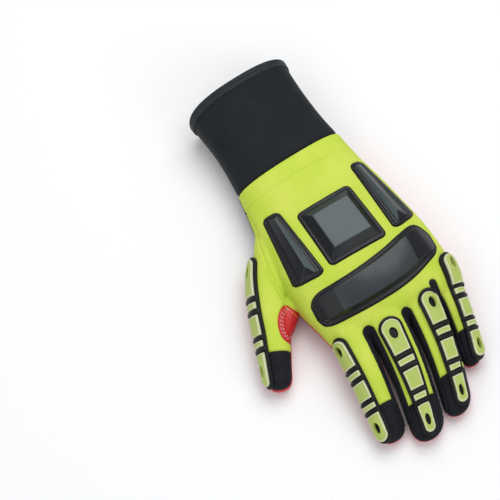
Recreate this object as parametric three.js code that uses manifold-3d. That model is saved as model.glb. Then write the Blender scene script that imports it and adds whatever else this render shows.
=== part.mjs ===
// A padded work glove for the left hand, lying palm down with the back of the hand up.
// Millimetres. +Z is up, the fingers point along +Y and the thumb is on the +X side.
// The sewn hand is a hollow shell that is open at the wrist. Impact pads sit on its back,
// a guard with raised inserts lies along each finger, and a neoprene cuff closes the wrist.
import * as THREE from "three";
import { mergeVertices } from "three/addons/utils/BufferGeometryUtils.js";
import Module from "manifold-3d";

const wasm = await Module();
wasm.setup();

// Clearances and walls
const gap = 0.3; // between neighbouring pieces
const shellWall = 2.2; // sewn fabric and leather of the hand
const cuffWall = 3; // neoprene

// Hand
const handLength = 146; // wrist seam to the webs between the fingers
const handWidth = 108; // across the knuckles
const handHeight = 46; // over the knuckles
const wristTurn = 4.3; // degrees that the wrist seam is turned
const cuffTurn = 6.4; // degrees that the cuff leans towards the thumb

// Cuff
const cuffLength = 64;
const cuffWidth = 83.5; // at the open end
const cuffHeight = 41; // at the wrist
const mouthHeight = 55; // at the open end
const mouthLean = 0.12; // how far the mouth's upper edge runs out, for each mm of height
const cuffFlare = 1.6; // how late along its length the cuff gains height
const cuffWaist = 0.05; // how far its sides draw in halfway, as a share of half its width
const cuffMiddle = 0.45; // height of its widest point, as a share of its height
const bindingWidth = 6;
const bindingWall = 1.1;
const tabWidth = 20;
const tabLength = 76;
const tabWall = 1.5; // folded webbing
const tabReach = 13; // past the mouth
const tabCorner = 1.5;
const tabPlace = 0.12; // its middle, as a share of cuffWidth towards the thumb

// Middle finger, the largest
const fingerLength = 115;
const fingerWidth = 30;
const fingerHeight = 24;

// Thumb
const thumbLength = 120; // from its root in the hand to its tip
const thumbWidth = 24;
const thumbHeight = 25;

// Black side strips between the fingers
const stripTopHalf = [4.2, 3.6, 2.9]; // half of the width that shows from above, index side first
const stripPalmHalf = 2.7; // half of the width that shows from the palm
const stripEnd = 6; // short of the shorter finger's tip

// Impact pads
const flangeWall = 1.6;
const flangeWidth = 2.6;
const padSink = 6; // how far a pad's blank reaches below the skin before it is cut to it
const padCorner = 2;
const padColumnLeast = 0.012; // share of a pad's width between the bends of its face
const flangeMost = 0.3; // share of a pad's length that its flange may take
const barHeight = 5.5;
const centreHeight = 6;
const wedgeHeight = 5.5;

// Finger guards
const guardWall = 2.4; // rim and cross bars
const guardFloor = 1.1; // under the inserts
const insertWall = 2.4;
const rimWidth = 1.9;
const guardLift = 2; // lowest edge above the side seam

// How finely curves are cut
const handSides = { outer: 18, inner: 16 };
const handEvery = { outer: 1, inner: 2 }; // which rows of the hand's table are used
const fingerSides = { outer: 12, inner: 8 };
const fingerSteps = { outer: 4, inner: 2 }; // sections along a finger, before its dome
const seamSteps = [0, 0.55, 1.1]; // places along a finger where its side seam bends
const seamEvery = 4; // rows of the hand's table between the bends of its side seam
const bandSteps = 2;
const cuffSteps = 3;
const endSteps = 3;
const domeSteps = { outer: [35, 68], inner: [55] }; // degrees round a fingertip
const holeSides = 6;
const squareness = 2.5; // 2 is an oval, more is squarer
const domePower = 0.8; // 1 is a round fingertip, less is blunter
const handFoot = 1.12; // how much deeper than its foot an uncut section would be
const cuffFoot = 1.06;
const leastHalf = 0.05; // of a section, so that no ring closes to a point
const slopeStep = 0.01; // share of a line over which its direction is taken
const rowPrecision = 1e-6; // of a place between two rows of the hand's table
const pastTip = 1.1; // a share that lies beyond the end of every digit
const reach = 400; // longer than the whole glove

// Sections of the hand. along is a share of handLength, left and right are shares of handWidth,
// top, mid and sole are shares of handHeight: the crown, the widest point and the underside.
// The side seam between the back and the palm runs at mid.
const handRows = [
  { along: 0.0, left: -0.372, right: 0.438, top: 0.89, mid: 0.42, sole: 0.0 },
  { along: 0.14, left: -0.413, right: 0.455, top: 0.915, mid: 0.41, sole: 0.0 },
  { along: 0.29, left: -0.473, right: 0.479, top: 0.955, mid: 0.41, sole: 0.0 },
  { along: 0.43, left: -0.519, right: 0.493, top: 0.985, mid: 0.41, sole: 0.0 },
  { along: 0.57, left: -0.557, right: 0.492, top: 1.0, mid: 0.41, sole: 0.0 },
  { along: 0.7, left: -0.582, right: 0.474, top: 1.0, mid: 0.41, sole: 0.0 },
  { along: 0.82, left: -0.592, right: 0.435, top: 0.92, mid: 0.41, sole: 0.02 },
  { along: 0.92, left: -0.582, right: 0.403, top: 0.76, mid: 0.4, sole: 0.08 },
  { along: 1.0, left: -0.545, right: 0.365, top: 0.46, mid: 0.34, sole: 0.2 },
];

// Sections that every finger shares, evenly spaced from its root to its tip. wide is a share of
// its width, top and sole of its height, and seam, where the back meets the palm, of handHeight.
// The middle joint arches off the floor.
const fingerRows = [
  { wide: 1.0, top: 1.6, sole: 0.1, seam: 0.41 },
  { wide: 1.0, top: 1.55, sole: 0.18, seam: 0.41 },
  { wide: 1.0, top: 1.44, sole: 0.3, seam: 0.4 },
  { wide: 0.98, top: 1.34, sole: 0.35, seam: 0.38 },
  { wide: 0.95, top: 1.2, sole: 0.27, seam: 0.33 },
  { wide: 0.93, top: 1.0, sole: 0.1, seam: 0.25 },
  { wide: 0.91, top: 0.83, sole: -0.02, seam: 0.19 },
  { wide: 0.88, top: 0.74, sole: -0.04, seam: 0.16 },
];
const tipShare = 0.45; // length of a fingertip's dome, as a share of the finger's width

// root and tip are shares of handWidth, start is a share of handLength, and long, wide and high are
// shares of the middle finger. side is where the guard runs and guard half its width, as shares of
// half the finger's width, at its root and its tip. cap is where the black fingertip starts and
// from where the guard does, as shares of the finger's length.
const fingerTable = [
  {
    name: "index", root: 0.262, tip: 0.33, start: 0.767, long: 0.904, wide: 0.813, high: 0.96,
    cap: 0.745, from: 0.2, sideRoot: 1.04, sideTip: 0.58, guardRoot: 0.52, guardTip: 0.44,
  },
  {
    name: "middle", root: 0.005, tip: 0.112, start: 0.767, long: 1, wide: 1, high: 1,
    cap: 0.765, from: 0.225, sideRoot: 0.06, sideTip: 0.0, guardRoot: 0.57, guardTip: 0.37,
  },
  {
    name: "ring", root: -0.267, tip: -0.133, start: 0.767, long: 0.948, wide: 0.847, high: 0.96,
    cap: 0.74, from: 0.185, sideRoot: -0.32, sideTip: -0.22, guardRoot: 0.57, guardTip: 0.42,
  },
  {
    name: "little", root: -0.48, tip: -0.388, start: 0.671, long: 0.835, wide: 0.587, high: 0.855,
    cap: 0.74, from: 0.17, sideRoot: -0.75, sideTip: -0.42, guardRoot: 0.62, guardTip: 0.52,
  },
];
const fingers = fingerTable.map((f) => ({
  ...f, length: f.long * fingerLength, width: f.wide * fingerWidth, height: f.high * fingerHeight,
}));
const drift = 2.4; // how late along its length a finger bends sideways

// Webs where the side strips start, as shares of handLength
const webs = [0.965, 0.968, 0.905];

// Spine of the thumb, evenly spaced from its root to its tip. out and up are shares of
// thumbLength from its root, wide is a share of thumbWidth, top and sole of thumbHeight.
const thumbRows = [
  { out: 0.0, up: 0.0, wide: 0.92, top: 1.24, sole: 0.05, seam: 0.41 },
  { out: 0.091, up: 0.14, wide: 1.0, top: 1.22, sole: 0.0, seam: 0.31 },
  { out: 0.178, up: 0.281, wide: 1.07, top: 1.16, sole: -0.04, seam: 0.24 },
  { out: 0.247, up: 0.433, wide: 1.07, top: 1.08, sole: -0.04, seam: 0.23 },
  { out: 0.306, up: 0.588, wide: 1.0, top: 1.02, sole: -0.04, seam: 0.23 },
  { out: 0.369, up: 0.743, wide: 0.87, top: 0.94, sole: -0.04, seam: 0.22 },
  { out: 0.43, up: 0.896, wide: 0.75, top: 0.84, sole: -0.04, seam: 0.2 },
];
const thumbRoot = [0.352, 0.2466]; // shares of handWidth and handLength
const thumbGuard = { from: 0.2, sideRoot: 1.3, sideTip: 1.0, guardRoot: 0.5, guardTip: 0.45 };
const thumbCap = 0.78; // where the black thumb tip starts, as a share of the spine
const thumbSeamTilt = 5; // how much higher the seam runs on the side of the hand

// The web in the crotch of the thumb, from its root in the palm to its end in the thumb
const webRows = [
  { wide: 1.0, top: 1.1, sole: 0.08, seam: 0.3 },
  { wide: 1.0, top: 0.9, sole: 0.1, seam: 0.24 },
  { wide: 1.0, top: 0.92, sole: 0.1, seam: 0.23 },
];
const webRoot = [0.37, 0.566]; // shares of handWidth and handLength
const webEnd = [0.62, 0.725];
const webWidth = 14.6;

// Plan of the thumb's own panels, as shares of handWidth and handLength
const thumbPanel = [
  [0.45, 0.2], [0.488, 0.3], [0.518, 0.42], [0.53, 0.54], [0.522, 0.63], [0.476, 0.712],
  [0.52, 0.82], [0.6, 1.1], [1.2, 1.1], [1.2, 0.0], [0.5, 0.0],
];

// Plan of the red patch in the crotch of the thumb, in the same shares
const patchPlan = [
  [0.44, 0.69], [0.48, 0.65], [0.53, 0.63], [0.59, 0.65], [0.641, 0.699], [0.661, 0.759],
  [0.644, 0.796], [0.6, 0.81], [0.5, 0.8],
];
const patchCentre = [0.55, 0.72];

// Raised inserts along a guard, as shares of its length. hole is the middle of an oval hole.
const insertRows = [
  { from: 0.0, to: 0.27, hole: 0.06 },
  { from: 0.32, to: 0.385 },
  { from: 0.435, to: 0.63 },
  { from: 0.675, to: 0.735 },
  { from: 0.785, to: 1.0, hole: 0.95 },
];
const insertHole = { wide: 0.52, long: 8.6 }; // a share of the insert's width, and mm
const guardEnd = 0.985; // where a guard ends, as a share of its finger
const holeSideMost = 0.9; // how far round a digit a hole can sit, as a share of half its width

// Pads on the back. edges pairs a point on the wrist side with one on the finger side, from the
// little finger to the thumb, in shares of handWidth and handLength. slope is the width of the
// bevel on the wrist, finger, little and thumb side, as a share of the pad.
const pads = [
  {
    name: "knuckle_bar", height: barHeight,
    edges: [
      [-0.528, 0.672, -0.528, 0.742], [-0.49, 0.62, -0.505, 0.77], [-0.44, 0.603, -0.454, 0.793],
      [-0.324, 0.625, -0.31, 0.834], [-0.2, 0.651, -0.17, 0.856], [-0.055, 0.671, -0.02, 0.864],
      [0.085, 0.683, 0.11, 0.865], [0.215, 0.687, 0.222, 0.861], [0.325, 0.688, 0.32, 0.853],
      [0.38, 0.702, 0.38, 0.832], [0.405, 0.727, 0.405, 0.788],
    ],
    slope: { wrist: 0.2, finger: 0.2, little: 0.16, thumb: 0.16 },
  },
  {
    name: "centre_pad", height: centreHeight,
    edges: [[-0.211, 0.273, -0.263, 0.593], [0.193, 0.29, 0.164, 0.603]],
    slope: { wrist: 0.17, finger: 0.2, little: 0.15, thumb: 0.18 },
  },
  {
    name: "little_side_pad", height: wedgeHeight,
    edges: [[-0.379, 0.187, -0.504, 0.538], [-0.303, 0.191, -0.345, 0.568]],
    slope: { wrist: 0.1, finger: 0.16, little: 0.52, thumb: 0.3 },
  },
  {
    name: "thumb_side_pad", height: wedgeHeight,
    edges: [[0.29, 0.223, 0.224, 0.616], [0.397, 0.216, 0.439, 0.6]],
    slope: { wrist: 0.1, finger: 0.16, little: 0.3, thumb: 0.52 },
  },
];

// Finishes
const finish = {
  lime: { color: 0xc6dc3a, roughness: 0.75, metalness: 0 },
  limeRubber: { color: 0xc3dc7a, roughness: 0.5, metalness: 0 },
  red: { color: 0xc4202c, roughness: 0.6, metalness: 0 },
  black: { color: 0x24282a, roughness: 0.85, metalness: 0 },
  blackRubber: { color: 0x1c1f21, roughness: 0.45, metalness: 0 },
  padding: { color: 0x3c434b, roughness: 0.3, metalness: 0 },
};

const radians = THREE.MathUtils.degToRad;

// A closed mesh as a solid that can be joined and cut
function solid(geometry) {
  geometry.deleteAttribute("normal");
  geometry.deleteAttribute("uv");
  const merged = mergeVertices(geometry, 1e-4);
  return new wasm.Manifold(
    new wasm.Mesh({
      numProp: 3,
      vertProperties: merged.attributes.position.array,
      triVerts: new Uint32Array(merged.index.array),
    }),
  );
}

// A smooth value between the rows of a table, column by column; t counts rows
function between(rows, t) {
  const i = Math.max(0, Math.min(Math.floor(t), rows.length - 2));
  const f = t - i;
  const row = (k) => rows[Math.max(0, Math.min(rows.length - 1, k))];
  const made = {};
  for (const key of Object.keys(rows[0])) {
    const [a, b, c, d] = [row(i - 1)[key], row(i)[key], row(i + 1)[key], row(i + 2)[key]];
    const bend = 2 * a - 5 * b + 4 * c - d + f * (3 * (b - c) + d - a);
    made[key] = b + 0.5 * f * (c - a + f * bend);
  }
  return made;
}

// Points of one section: a squarish oval, flat where it would dip under its floor
function ring(section, offset, sides) {
  const { x, y, z, half, up, down, turn = 0, lean = 0, floor = 0 } = section;
  const points = [];
  for (let k = 0; k < sides; k++) {
    const angle = (2 * Math.PI * k) / sides;
    const power = 2 / squareness;
    const across = Math.sign(Math.cos(angle)) * Math.abs(Math.cos(angle)) ** power;
    const above = Math.sign(Math.sin(angle)) * Math.abs(Math.sin(angle)) ** power;
    const side = across * Math.max(half + offset, leastHalf);
    const rise = above * Math.max((above > 0 ? up : down) + offset, leastHalf);
    const height = Math.max(z + rise, floor - offset);
    const back = lean * (height - z);
    points.push(
      new THREE.Vector3(
        x + side * Math.cos(turn) + back * Math.sin(turn),
        y + side * Math.sin(turn) - back * Math.cos(turn),
        height,
      ),
    );
  }
  return points;
}

// A closed skin over rings with as many points each, in the order that turns it outwards
function skin(rings) {
  const sides = rings[0].length;
  const middle = (points) =>
    points.reduce((sum, p) => sum.add(p), new THREE.Vector3()).divideScalar(points.length);
  const points = [...rings.flat(), middle(rings[0]), middle(rings[rings.length - 1])];
  const first = points.length - 2;
  const faces = [];
  for (let k = 0; k < sides; k++) {
    const next = (k + 1) % sides;
    for (let r = 0; r < rings.length - 1; r++) {
      const [a, b] = [r * sides + k, r * sides + next];
      faces.push(a, b + sides, b, a, a + sides, b + sides);
    }
    const last = (rings.length - 1) * sides;
    faces.push(first, k, next, first + 1, last + next, last + k);
  }
  const geometry = new THREE.BufferGeometry().setFromPoints(points);
  return solid(geometry.setIndex(faces));
}

// Turns a plan outline into a prism from one height up to another
function prism(outline, low = -reach / 2, high = reach / 2) {
  const shape = new THREE.Shape(outline.map(([x, y]) => new THREE.Vector2(x, y)));
  const geometry = new THREE.ExtrudeGeometry(shape, { depth: high - low, bevelEnabled: false });
  return solid(geometry.translate(0, 0, low));
}

// Plan outline of a band along a line; line(s) gives a point and half(s) half the width there
function band(line, half, from, to, steps, roundStart, roundEnd) {
  const along = (s) => {
    const [p, q] = [line(s - slopeStep), line(s + slopeStep)];
    return Math.atan2(q.y - p.y, q.x - p.x);
  };
  const edge = (s, turn, size) => {
    const p = line(s);
    const angle = along(s) + turn;
    return [p.x + size * Math.cos(angle), p.y + size * Math.sin(angle)];
  };
  const outline = [];
  const quarter = Math.PI / 2;
  for (let k = 0; k <= steps; k++) {
    const s = from + ((to - from) * k) / steps;
    outline.push(edge(s, -quarter, half(s)));
  }
  for (let k = 1; k < endSteps && roundEnd; k++)
    outline.push(edge(to, -quarter + (2 * quarter * k) / endSteps, half(to)));
  for (let k = steps; k >= 0; k--) {
    const s = from + ((to - from) * k) / steps;
    outline.push(edge(s, quarter, half(s)));
  }
  for (let k = 1; k < endSteps && roundStart; k++)
    outline.push(edge(from, quarter + (2 * quarter * k) / endSteps, half(from)));
  return outline;
}

const planPoint = ([x, y]) => [x * handWidth, y * handLength];

// One section of the hand at a row of the table, or between two rows
function handSection(t) {
  const row = between(handRows, t);
  const z = row.mid * handHeight;
  const sole = row.sole * handHeight;
  const first = Math.max(0, 1 - t / 2); // only the wrist follows the cuff's turn
  return {
    x: ((row.left + row.right) / 2) * handWidth,
    y: row.along * handLength,
    z,
    half: ((row.right - row.left) / 2) * handWidth,
    up: row.top * handHeight - z,
    down: (z - sole) * handFoot,
    floor: sole,
    turn: radians(wristTurn) * first,
  };
}

// Which face of the skin an offset belongs to
const face = (offset) => (offset < 0 ? "inner" : "outer");

function palmBody(offset) {
  const last = handRows.length - 1;
  const rings = [];
  for (let t = 0; t <= last; t += handEvery[face(offset)]) {
    const section = handSection(t);
    // An inner skin runs out past the wrist, so that the hand is open there
    if (t === 0 && offset < 0) section.y -= cuffWall;
    if (t === last) section.y += offset;
    rings.push(ring(section, offset, handSides[face(offset)]));
  }
  return skin(rings);
}

// Middle line of a finger in plan; s runs from its root to its tip
const fingerLine = (f) => (s) => ({
  x: handWidth * (f.root + (f.tip - f.root) * Math.max(s, 0) ** drift),
  y: handLength * f.start + f.length * s,
});

// Middle line of the thumb in plan, carried on straight past its ends
function thumbLine(s) {
  const inside = Math.max(0, Math.min(1, s));
  const step = inside > 0.5 ? -slopeStep : slopeStep;
  const rowAt = (share) => between(thumbRows, share * (thumbRows.length - 1));
  const [row, next] = [rowAt(inside), rowAt(inside + step)];
  const past = (s - inside) / step;
  return {
    x: handWidth * thumbRoot[0] + thumbLength * (row.out + (next.out - row.out) * past),
    y: handLength * thumbRoot[1] + thumbLength * (row.up + (next.up - row.up) * past),
  };
}

// Middle line of the web in the crotch of the thumb
function webLine(s) {
  const [[x0, y0], [x1, y1]] = [planPoint(webRoot), planPoint(webEnd)];
  return { x: x0 + (x1 - x0) * s, y: y0 + (y1 - y0) * s };
}

// Direction of a plan line at s, as the turn from +Y
function turnAt(line, s) {
  const [p, q] = [line(s - slopeStep), line(s + slopeStep)];
  return Math.atan2(q.y - p.y, q.x - p.x) - Math.PI / 2;
}

// A finger, the thumb or its web: its rows, middle line, size and how far its sections turn
const digits = {};
for (const f of fingers)
  digits[f.name] = { rows: fingerRows, line: fingerLine(f), ...f, turns: 0, tilt: 0 };
digits.thumb = {
  rows: thumbRows, line: thumbLine, length: thumbLength, width: thumbWidth, height: thumbHeight,
  turns: 1, tilt: thumbSeamTilt,
};
digits.web = { rows: webRows, line: webLine, width: webWidth, height: thumbHeight, turns: 1, tilt: 0 };
const digitNames = Object.keys(digits);

function digitSection(d, s) {
  const row = between(d.rows, Math.max(0, Math.min(1, s)) * (d.rows.length - 1));
  const [top, sole] = [row.top * d.height, row.sole * d.height];
  return {
    ...d.line(s), z: (top + sole) / 2, half: (row.wide * d.width) / 2,
    up: (top - sole) / 2, down: (top - sole) / 2, seam: row.seam * handHeight,
    turn: d.turns * turnAt(d.line, s), tilt: d.tilt,
  };
}

// A digit grown by offset, with a domed tip
function digitTube(d, offset) {
  const sides = fingerSides[face(offset)];
  const domed = d !== digits.web;
  const dome = d.width * tipShare;
  const shoulder = domed ? 1 - dome / d.length : 1;
  const rings = [];
  const steps = domed ? fingerSteps[face(offset)] : d.rows.length - 1;
  for (let k = 0; k <= steps; k++)
    rings.push(ring(digitSection(d, (shoulder * k) / steps), offset, sides));
  for (const degrees of domed ? domeSteps[face(offset)] : []) {
    const angle = radians(degrees);
    const section = digitSection(d, shoulder + ((dome + offset) / d.length) * Math.sin(angle));
    const shrink = Math.cos(angle) ** domePower;
    for (const key of ["half", "up", "down"]) section[key] = (section[key] + offset) * shrink - offset;
    rings.push(ring(section, offset, sides));
  }
  return skin(rings);
}

// The room above a side seam that is raised by lift, along sections with a seam height
function roomAbove(sections, lift, wider) {
  const rings = sections.map(({ x, y, half, seam, turn = 0, tilt = 0 }) =>
    [[1, seam + lift], [1, reach], [-1, reach], [-1, seam + tilt + lift]].map(
      ([way, z]) => {
        const out = way * (half + wider);
        return new THREE.Vector3(x + out * Math.cos(turn), y + out * Math.sin(turn), z);
      },
    ),
  );
  return skin(rings);
}

// The same room over one digit
function aboveDigit(lift, name, wider = 2 * gap) {
  return roomAbove(seamSteps.map((s) => digitSection(digits[name], s)), lift, wider);
}

// The same room over the whole hand
function aboveHand(lift) {
  const sections = [];
  for (let t = 0; t < handRows.length; t += seamEvery)
    sections.push({ ...handSection(t), seam: handRows[t].mid * handHeight });
  sections[0].y -= cuffLength;
  const rooms = digitNames.map((name) => aboveDigit(lift, name));
  return rooms.reduce((a, b) => a.add(b), roomAbove(sections, lift, 2 * shellWall));
}

// The whole hand without its cuff, grown by offset, or shrunk where offset is negative
const handCache = new Map();
function hand(offset) {
  if (!handCache.has(offset)) {
    const tubes = Object.values(digits).map((d) => digitTube(d, offset));
    handCache.set(offset, tubes.reduce((all, tube) => all.add(tube), palmBody(offset)));
  }
  return handCache.get(offset);
}

// The line halfway between two neighbouring fingers, from their web to the shorter one's tip
function stripLine(a, b) {
  const [lineA, lineB] = [fingerLine(a), fingerLine(b)];
  const xAt = (f, line, y) => line((y - handLength * f.start) / f.length).x;
  return (y) => {
    const edgeA = xAt(a, lineA, y) - a.width / 2;
    const edgeB = xAt(b, lineB, y) + b.width / 2;
    return { x: (edgeA + edgeB) / 2, y };
  };
}

const tipOf = (f) => handLength * f.start + f.length;

// Plan of the side strip between two fingers, in the width that shows from one side
function stripBand(k, half) {
  const [a, b] = [fingers[k], fingers[k + 1]];
  const end = Math.min(tipOf(a), tipOf(b)) - stripEnd;
  return band(stripLine(a, b), () => half, webs[k] * handLength, end, bandSteps, true, false);
}

// The room that a side strip takes out of the other panels, grown by clear
function stripRoom(k, clear) {
  const upper = prism(stripBand(k, stripTopHalf[k] + clear)).intersect(aboveHand(-clear));
  return upper.add(prism(stripBand(k, stripPalmHalf + clear)));
}

// The plan of a black fingertip, which starts square across the finger
function capBand(f, clear) {
  const half = () => f.width / 2 + gap;
  return band(fingerLine(f), half, f.cap - clear / f.length, pastTip, bandSteps, false, false);
}

function thumbCapBand(clear) {
  const from = thumbCap - clear / thumbLength;
  return band(thumbLine, () => thumbWidth, from, pastTip, 1, false, false);
}

function shellPanels() {
  const shell = hand(0).subtract(hand(-shellWall));
  const above = aboveHand(gap / 2);
  const below = aboveHand(-gap / 2);
  const thumbRoom = prism(thumbPanel.map(planPoint));
  const patchRoom = prism(patchPlan.map(planPoint));
  const strips = [0, 1, 2].map((k) => shell.intersect(stripRoom(k, 0)));
  const stripsGrown = [0, 1, 2].map((k) => stripRoom(k, gap)).reduce((a, b) => a.add(b));

  let back = shell.intersect(above).subtract(stripsGrown).subtract(thumbRoom);
  const palm = shell.subtract(below).subtract(stripsGrown).subtract(thumbRoom);
  const panels = { palm_panel: palm };
  strips.forEach((strip, k) => {
    panels["side_strip_" + fingers[k].name + "_" + fingers[k + 1].name] = strip;
  });
  for (const f of fingers) {
    const tube = digitTube(digits[f.name], 0).subtract(digitTube(digits[f.name], -shellWall));
    panels["tip_" + f.name] = tube
      .intersect(above)
      .intersect(prism(capBand(f, 0)))
      .subtract(stripsGrown);
    back = back.subtract(prism(capBand(f, gap)));
  }
  panels.back_panel = back;

  // The thumb is sewn on as its own pair of panels
  const thumbPlan = thumbPanel.map(([x, y]) => planPoint([x + gap / handWidth, y]));
  const thumbSkin = shell.intersect(prism(thumbPlan));
  const thumbTop = thumbSkin.intersect(above);
  const [cx, cy] = planPoint(patchCentre);
  const growPatch = patchPlan.map(planPoint).map(([x, y]) => {
    const far = Math.hypot(x - cx, y - cy);
    return [x + ((x - cx) / far) * gap, y + ((y - cy) / far) * gap];
  });
  panels.thumb_front = thumbSkin.subtract(below);
  panels.thumb_web_patch = thumbTop.intersect(patchRoom);
  panels.tip_thumb = thumbTop.intersect(prism(thumbCapBand(0)));
  panels.thumb_back = thumbTop.subtract(prism(growPatch)).subtract(prism(thumbCapBand(gap)));
  return panels;
}

// The cuff between two distances from the wrist seam, grown by offset
function cuffTube(offset, from, to, steps = 1) {
  const rings = [];
  for (let k = steps; k >= 0; k--) {
    const distance = from + ((to - from) * k) / steps;
    const s = distance / cuffLength;
    const wrist = handSection(0);
    const ease = Math.max(s, 0) ** cuffFlare;
    const waist = 1 - cuffWaist * Math.sin(Math.PI * Math.min(Math.max(s, 0), 1));
    const top = cuffHeight + (mouthHeight - cuffHeight) * ease;
    const floor = tabWall + gap;
    const z = (top + floor) * cuffMiddle;
    const half = (wrist.half + (cuffWidth / 2 - wrist.half) * s) * waist;
    const turn = radians(wristTurn);
    rings.push(
      ring(
        {
          x: wrist.x + Math.sin(radians(cuffTurn)) * distance,
          y: wrist.y - Math.cos(radians(cuffTurn)) * distance, z, half,
          up: top - z, down: (z - floor) * cuffFoot, turn, lean: mouthLean * Math.max(s, 0), floor,
        },
        offset,
        handSides.outer,
      ),
    );
  }
  return skin(rings);
}

// A pull tab of folded webbing that is sewn under the cuff and runs out past its mouth
function pullTab(clear) {
  const [w, l, c] = [tabWidth / 2 + clear, tabLength + clear, tabCorner];
  const shape = new THREE.Shape();
  shape.moveTo(-w, clear).lineTo(-w, c - l).lineTo(c - w, -l).lineTo(w - c, -l).lineTo(w, c - l);
  shape.lineTo(w, clear);
  const geometry = new THREE.ExtrudeGeometry(shape, { depth: tabWall + clear, bevelEnabled: false });
  const turn = radians(cuffTurn);
  const start = cuffLength + tabReach - tabLength;
  geometry.translate(cuffWidth * tabPlace, -start, 0).rotateZ(turn);
  const wrist = handSection(0);
  return solid(geometry.translate(wrist.x, wrist.y, 0));
}

function cuffParts() {
  const cuff = cuffTube(0, gap, cuffLength, cuffSteps).subtract(
    cuffTube(-cuffWall, -cuffWall, cuffLength + cuffWall, cuffSteps),
  );
  const over = gap + bindingWall;
  const start = cuffLength - bindingWidth;
  const blank = cuffTube(over, start, cuffLength + over);
  const bore = cuffTube(-cuffWall - over, start - bindingWidth, cuffLength + 2 * over);
  const slot = cuffTube(gap, start - bindingWidth, cuffLength + gap);
  const core = cuffTube(-cuffWall - gap, start - 2 * bindingWidth, cuffLength + 2 * over);
  const binding = blank.subtract(bore).subtract(slot.subtract(core)).subtract(pullTab(gap));
  return { cuff, cuff_binding: binding, pull_tab: pullTab(0) };
}

// Height of the hand's back at a place in plan
function backHeight(x, y) {
  let [low, high] = [0, handRows.length - 1];
  while (high - low > rowPrecision) {
    const t = (low + high) / 2;
    if (handSection(t).y < y) low = t;
    else high = t;
  }
  const s = handSection(low);
  const across = Math.min(Math.abs(x - s.x) / s.half, 1);
  return s.z + s.up * (1 - across ** squareness) ** (1 / squareness);
}

// A moulded pad: a flat flange all round and a raised crown with bevelled sides
function pad({ edges, height, slope }) {
  const points = edges.map(([x0, y0, x1, y1]) => [...planPoint([x0, y0]), ...planPoint([x1, y1])]);
  const first = points[0];
  const last = points[points.length - 1];
  const width = Math.hypot(first[0] - last[0], first[1] - last[1]);
  // Places along the pad where its face bends, as shares of its width
  const flangeU = flangeWidth / width;
  const grid = new Set([0, padCorner / width, flangeU, slope.little, 1 - slope.thumb, 1 - flangeU]);
  grid.add(1 - padCorner / width).add(1);
  points.forEach((p, k) => grid.add(k / (points.length - 1)));
  const sorted = [...grid].sort((a, b) => a - b);
  const columns = sorted.filter((u, k, all) => !k || u - all[k - 1] > padColumnLeast);
  const at = (u) => {
    const t = u * (points.length - 1);
    const i = Math.min(Math.floor(t), points.length - 2);
    return points[i].map((v, k) => v + (points[i + 1][k] - v) * (t - i));
  };
  const squareEnds = points.length === 2;
  const tops = [];
  const feet = [];
  for (const u of columns) {
    const [x0, y0, x1, y1] = at(u);
    const long = Math.hypot(x1 - x0, y1 - y0);
    const cut = squareEnds && (u === 0 || u === 1) ? padCorner / long : 0;
    const flangeV = Math.min(flangeWidth / long, flangeMost);
    const rows = [0, flangeV, slope.wrist, 1 - slope.finger, 1 - flangeV, 1];
    for (const v of rows) {
      const w = cut + v * (1 - 2 * cut);
      const [x, y] = [x0 + (x1 - x0) * w, y0 + (y1 - y0) * w];
      const ramps = [
        (v - flangeV) / (slope.wrist - flangeV), (1 - flangeV - v) / (slope.finger - flangeV),
        (u - flangeU) / (slope.little - flangeU), (1 - flangeU - u) / (slope.thumb - flangeU),
      ];
      const share = Math.max(0, Math.min(1, ...ramps));
      const skinHeight = backHeight(x, y);
      tops.push([x, y, skinHeight + gap + flangeWall + (height - flangeWall) * share]);
      feet.push([x, y, skinHeight - padSink]);
    }
  }
  return slab(tops, feet, columns.length, tops.length / columns.length);
}

// A closed slab between two grids of points, columns times rows
function slab(tops, feet, columns, rows) {
  const points = [...tops, ...feet].map((p) => new THREE.Vector3(...p));
  const under = tops.length;
  const faces = [];
  const quad = (a, b, c, d, swap) =>
    swap ? faces.push(a, b, d, b, c, d) : faces.push(a, b, c, a, c, d);
  for (let i = 0; i < columns - 1; i++) {
    for (let j = 0; j < rows - 1; j++) {
      const [a, b] = [i * rows + j, (i + 1) * rows + j];
      const swap = i < (columns - 1) / 2 === j < (rows - 1) / 2;
      quad(a, b, b + 1, a + 1, !swap);
      quad(under + a, under + a + 1, under + b + 1, under + b, !swap);
    }
    const [a, b] = [i * rows, (i + 1) * rows];
    const top = rows - 1;
    quad(a, under + a, under + b, b, false);
    quad(b + top, under + b + top, under + a + top, a + top, false);
  }
  const end = (columns - 1) * rows;
  for (let j = 0; j < rows - 1; j++) {
    quad(j + 1, under + j + 1, under + j, j, false);
    quad(end + j, under + end + j, under + end + j + 1, end + j + 1, false);
  }
  return solid(new THREE.BufferGeometry().setFromPoints(points).setIndex(faces));
}

// An oval hole square to the skin, as far round the digit as side says
function skinHole(d, s, side, wide) {
  const { x, y, z, half, up, turn } = { ...digitSection(d, s), turn: turnAt(d.line, s) };
  const across = Math.sign(side) * Math.min(Math.abs(side), holeSideMost);
  const rise = (1 - Math.abs(across) ** squareness) ** (1 / squareness);
  const slopeOut = (Math.sign(across) * Math.abs(across) ** (squareness - 1)) / half;
  const tip = Math.atan2(slopeOut, rise ** (squareness - 1) / up);
  const shape = new THREE.Shape();
  for (let i = 0; i < holeSides; i++) {
    const angle = (2 * Math.PI * i) / holeSides;
    const [a, b] = [(wide / 2) * Math.cos(angle), (insertHole.long / 2) * Math.sin(angle)];
    if (i) shape.lineTo(a, b);
    else shape.moveTo(a, b);
  }
  const depth = 2 * (guardWall + insertWall);
  const geometry = new THREE.ExtrudeGeometry(shape, { depth: 2 * depth, bevelEnabled: false });
  geometry.translate(0, 0, -depth).rotateY(tip).translate(across * half, 0, rise * up).rotateZ(turn);
  return solid(geometry.translate(x, y, z));
}

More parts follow.
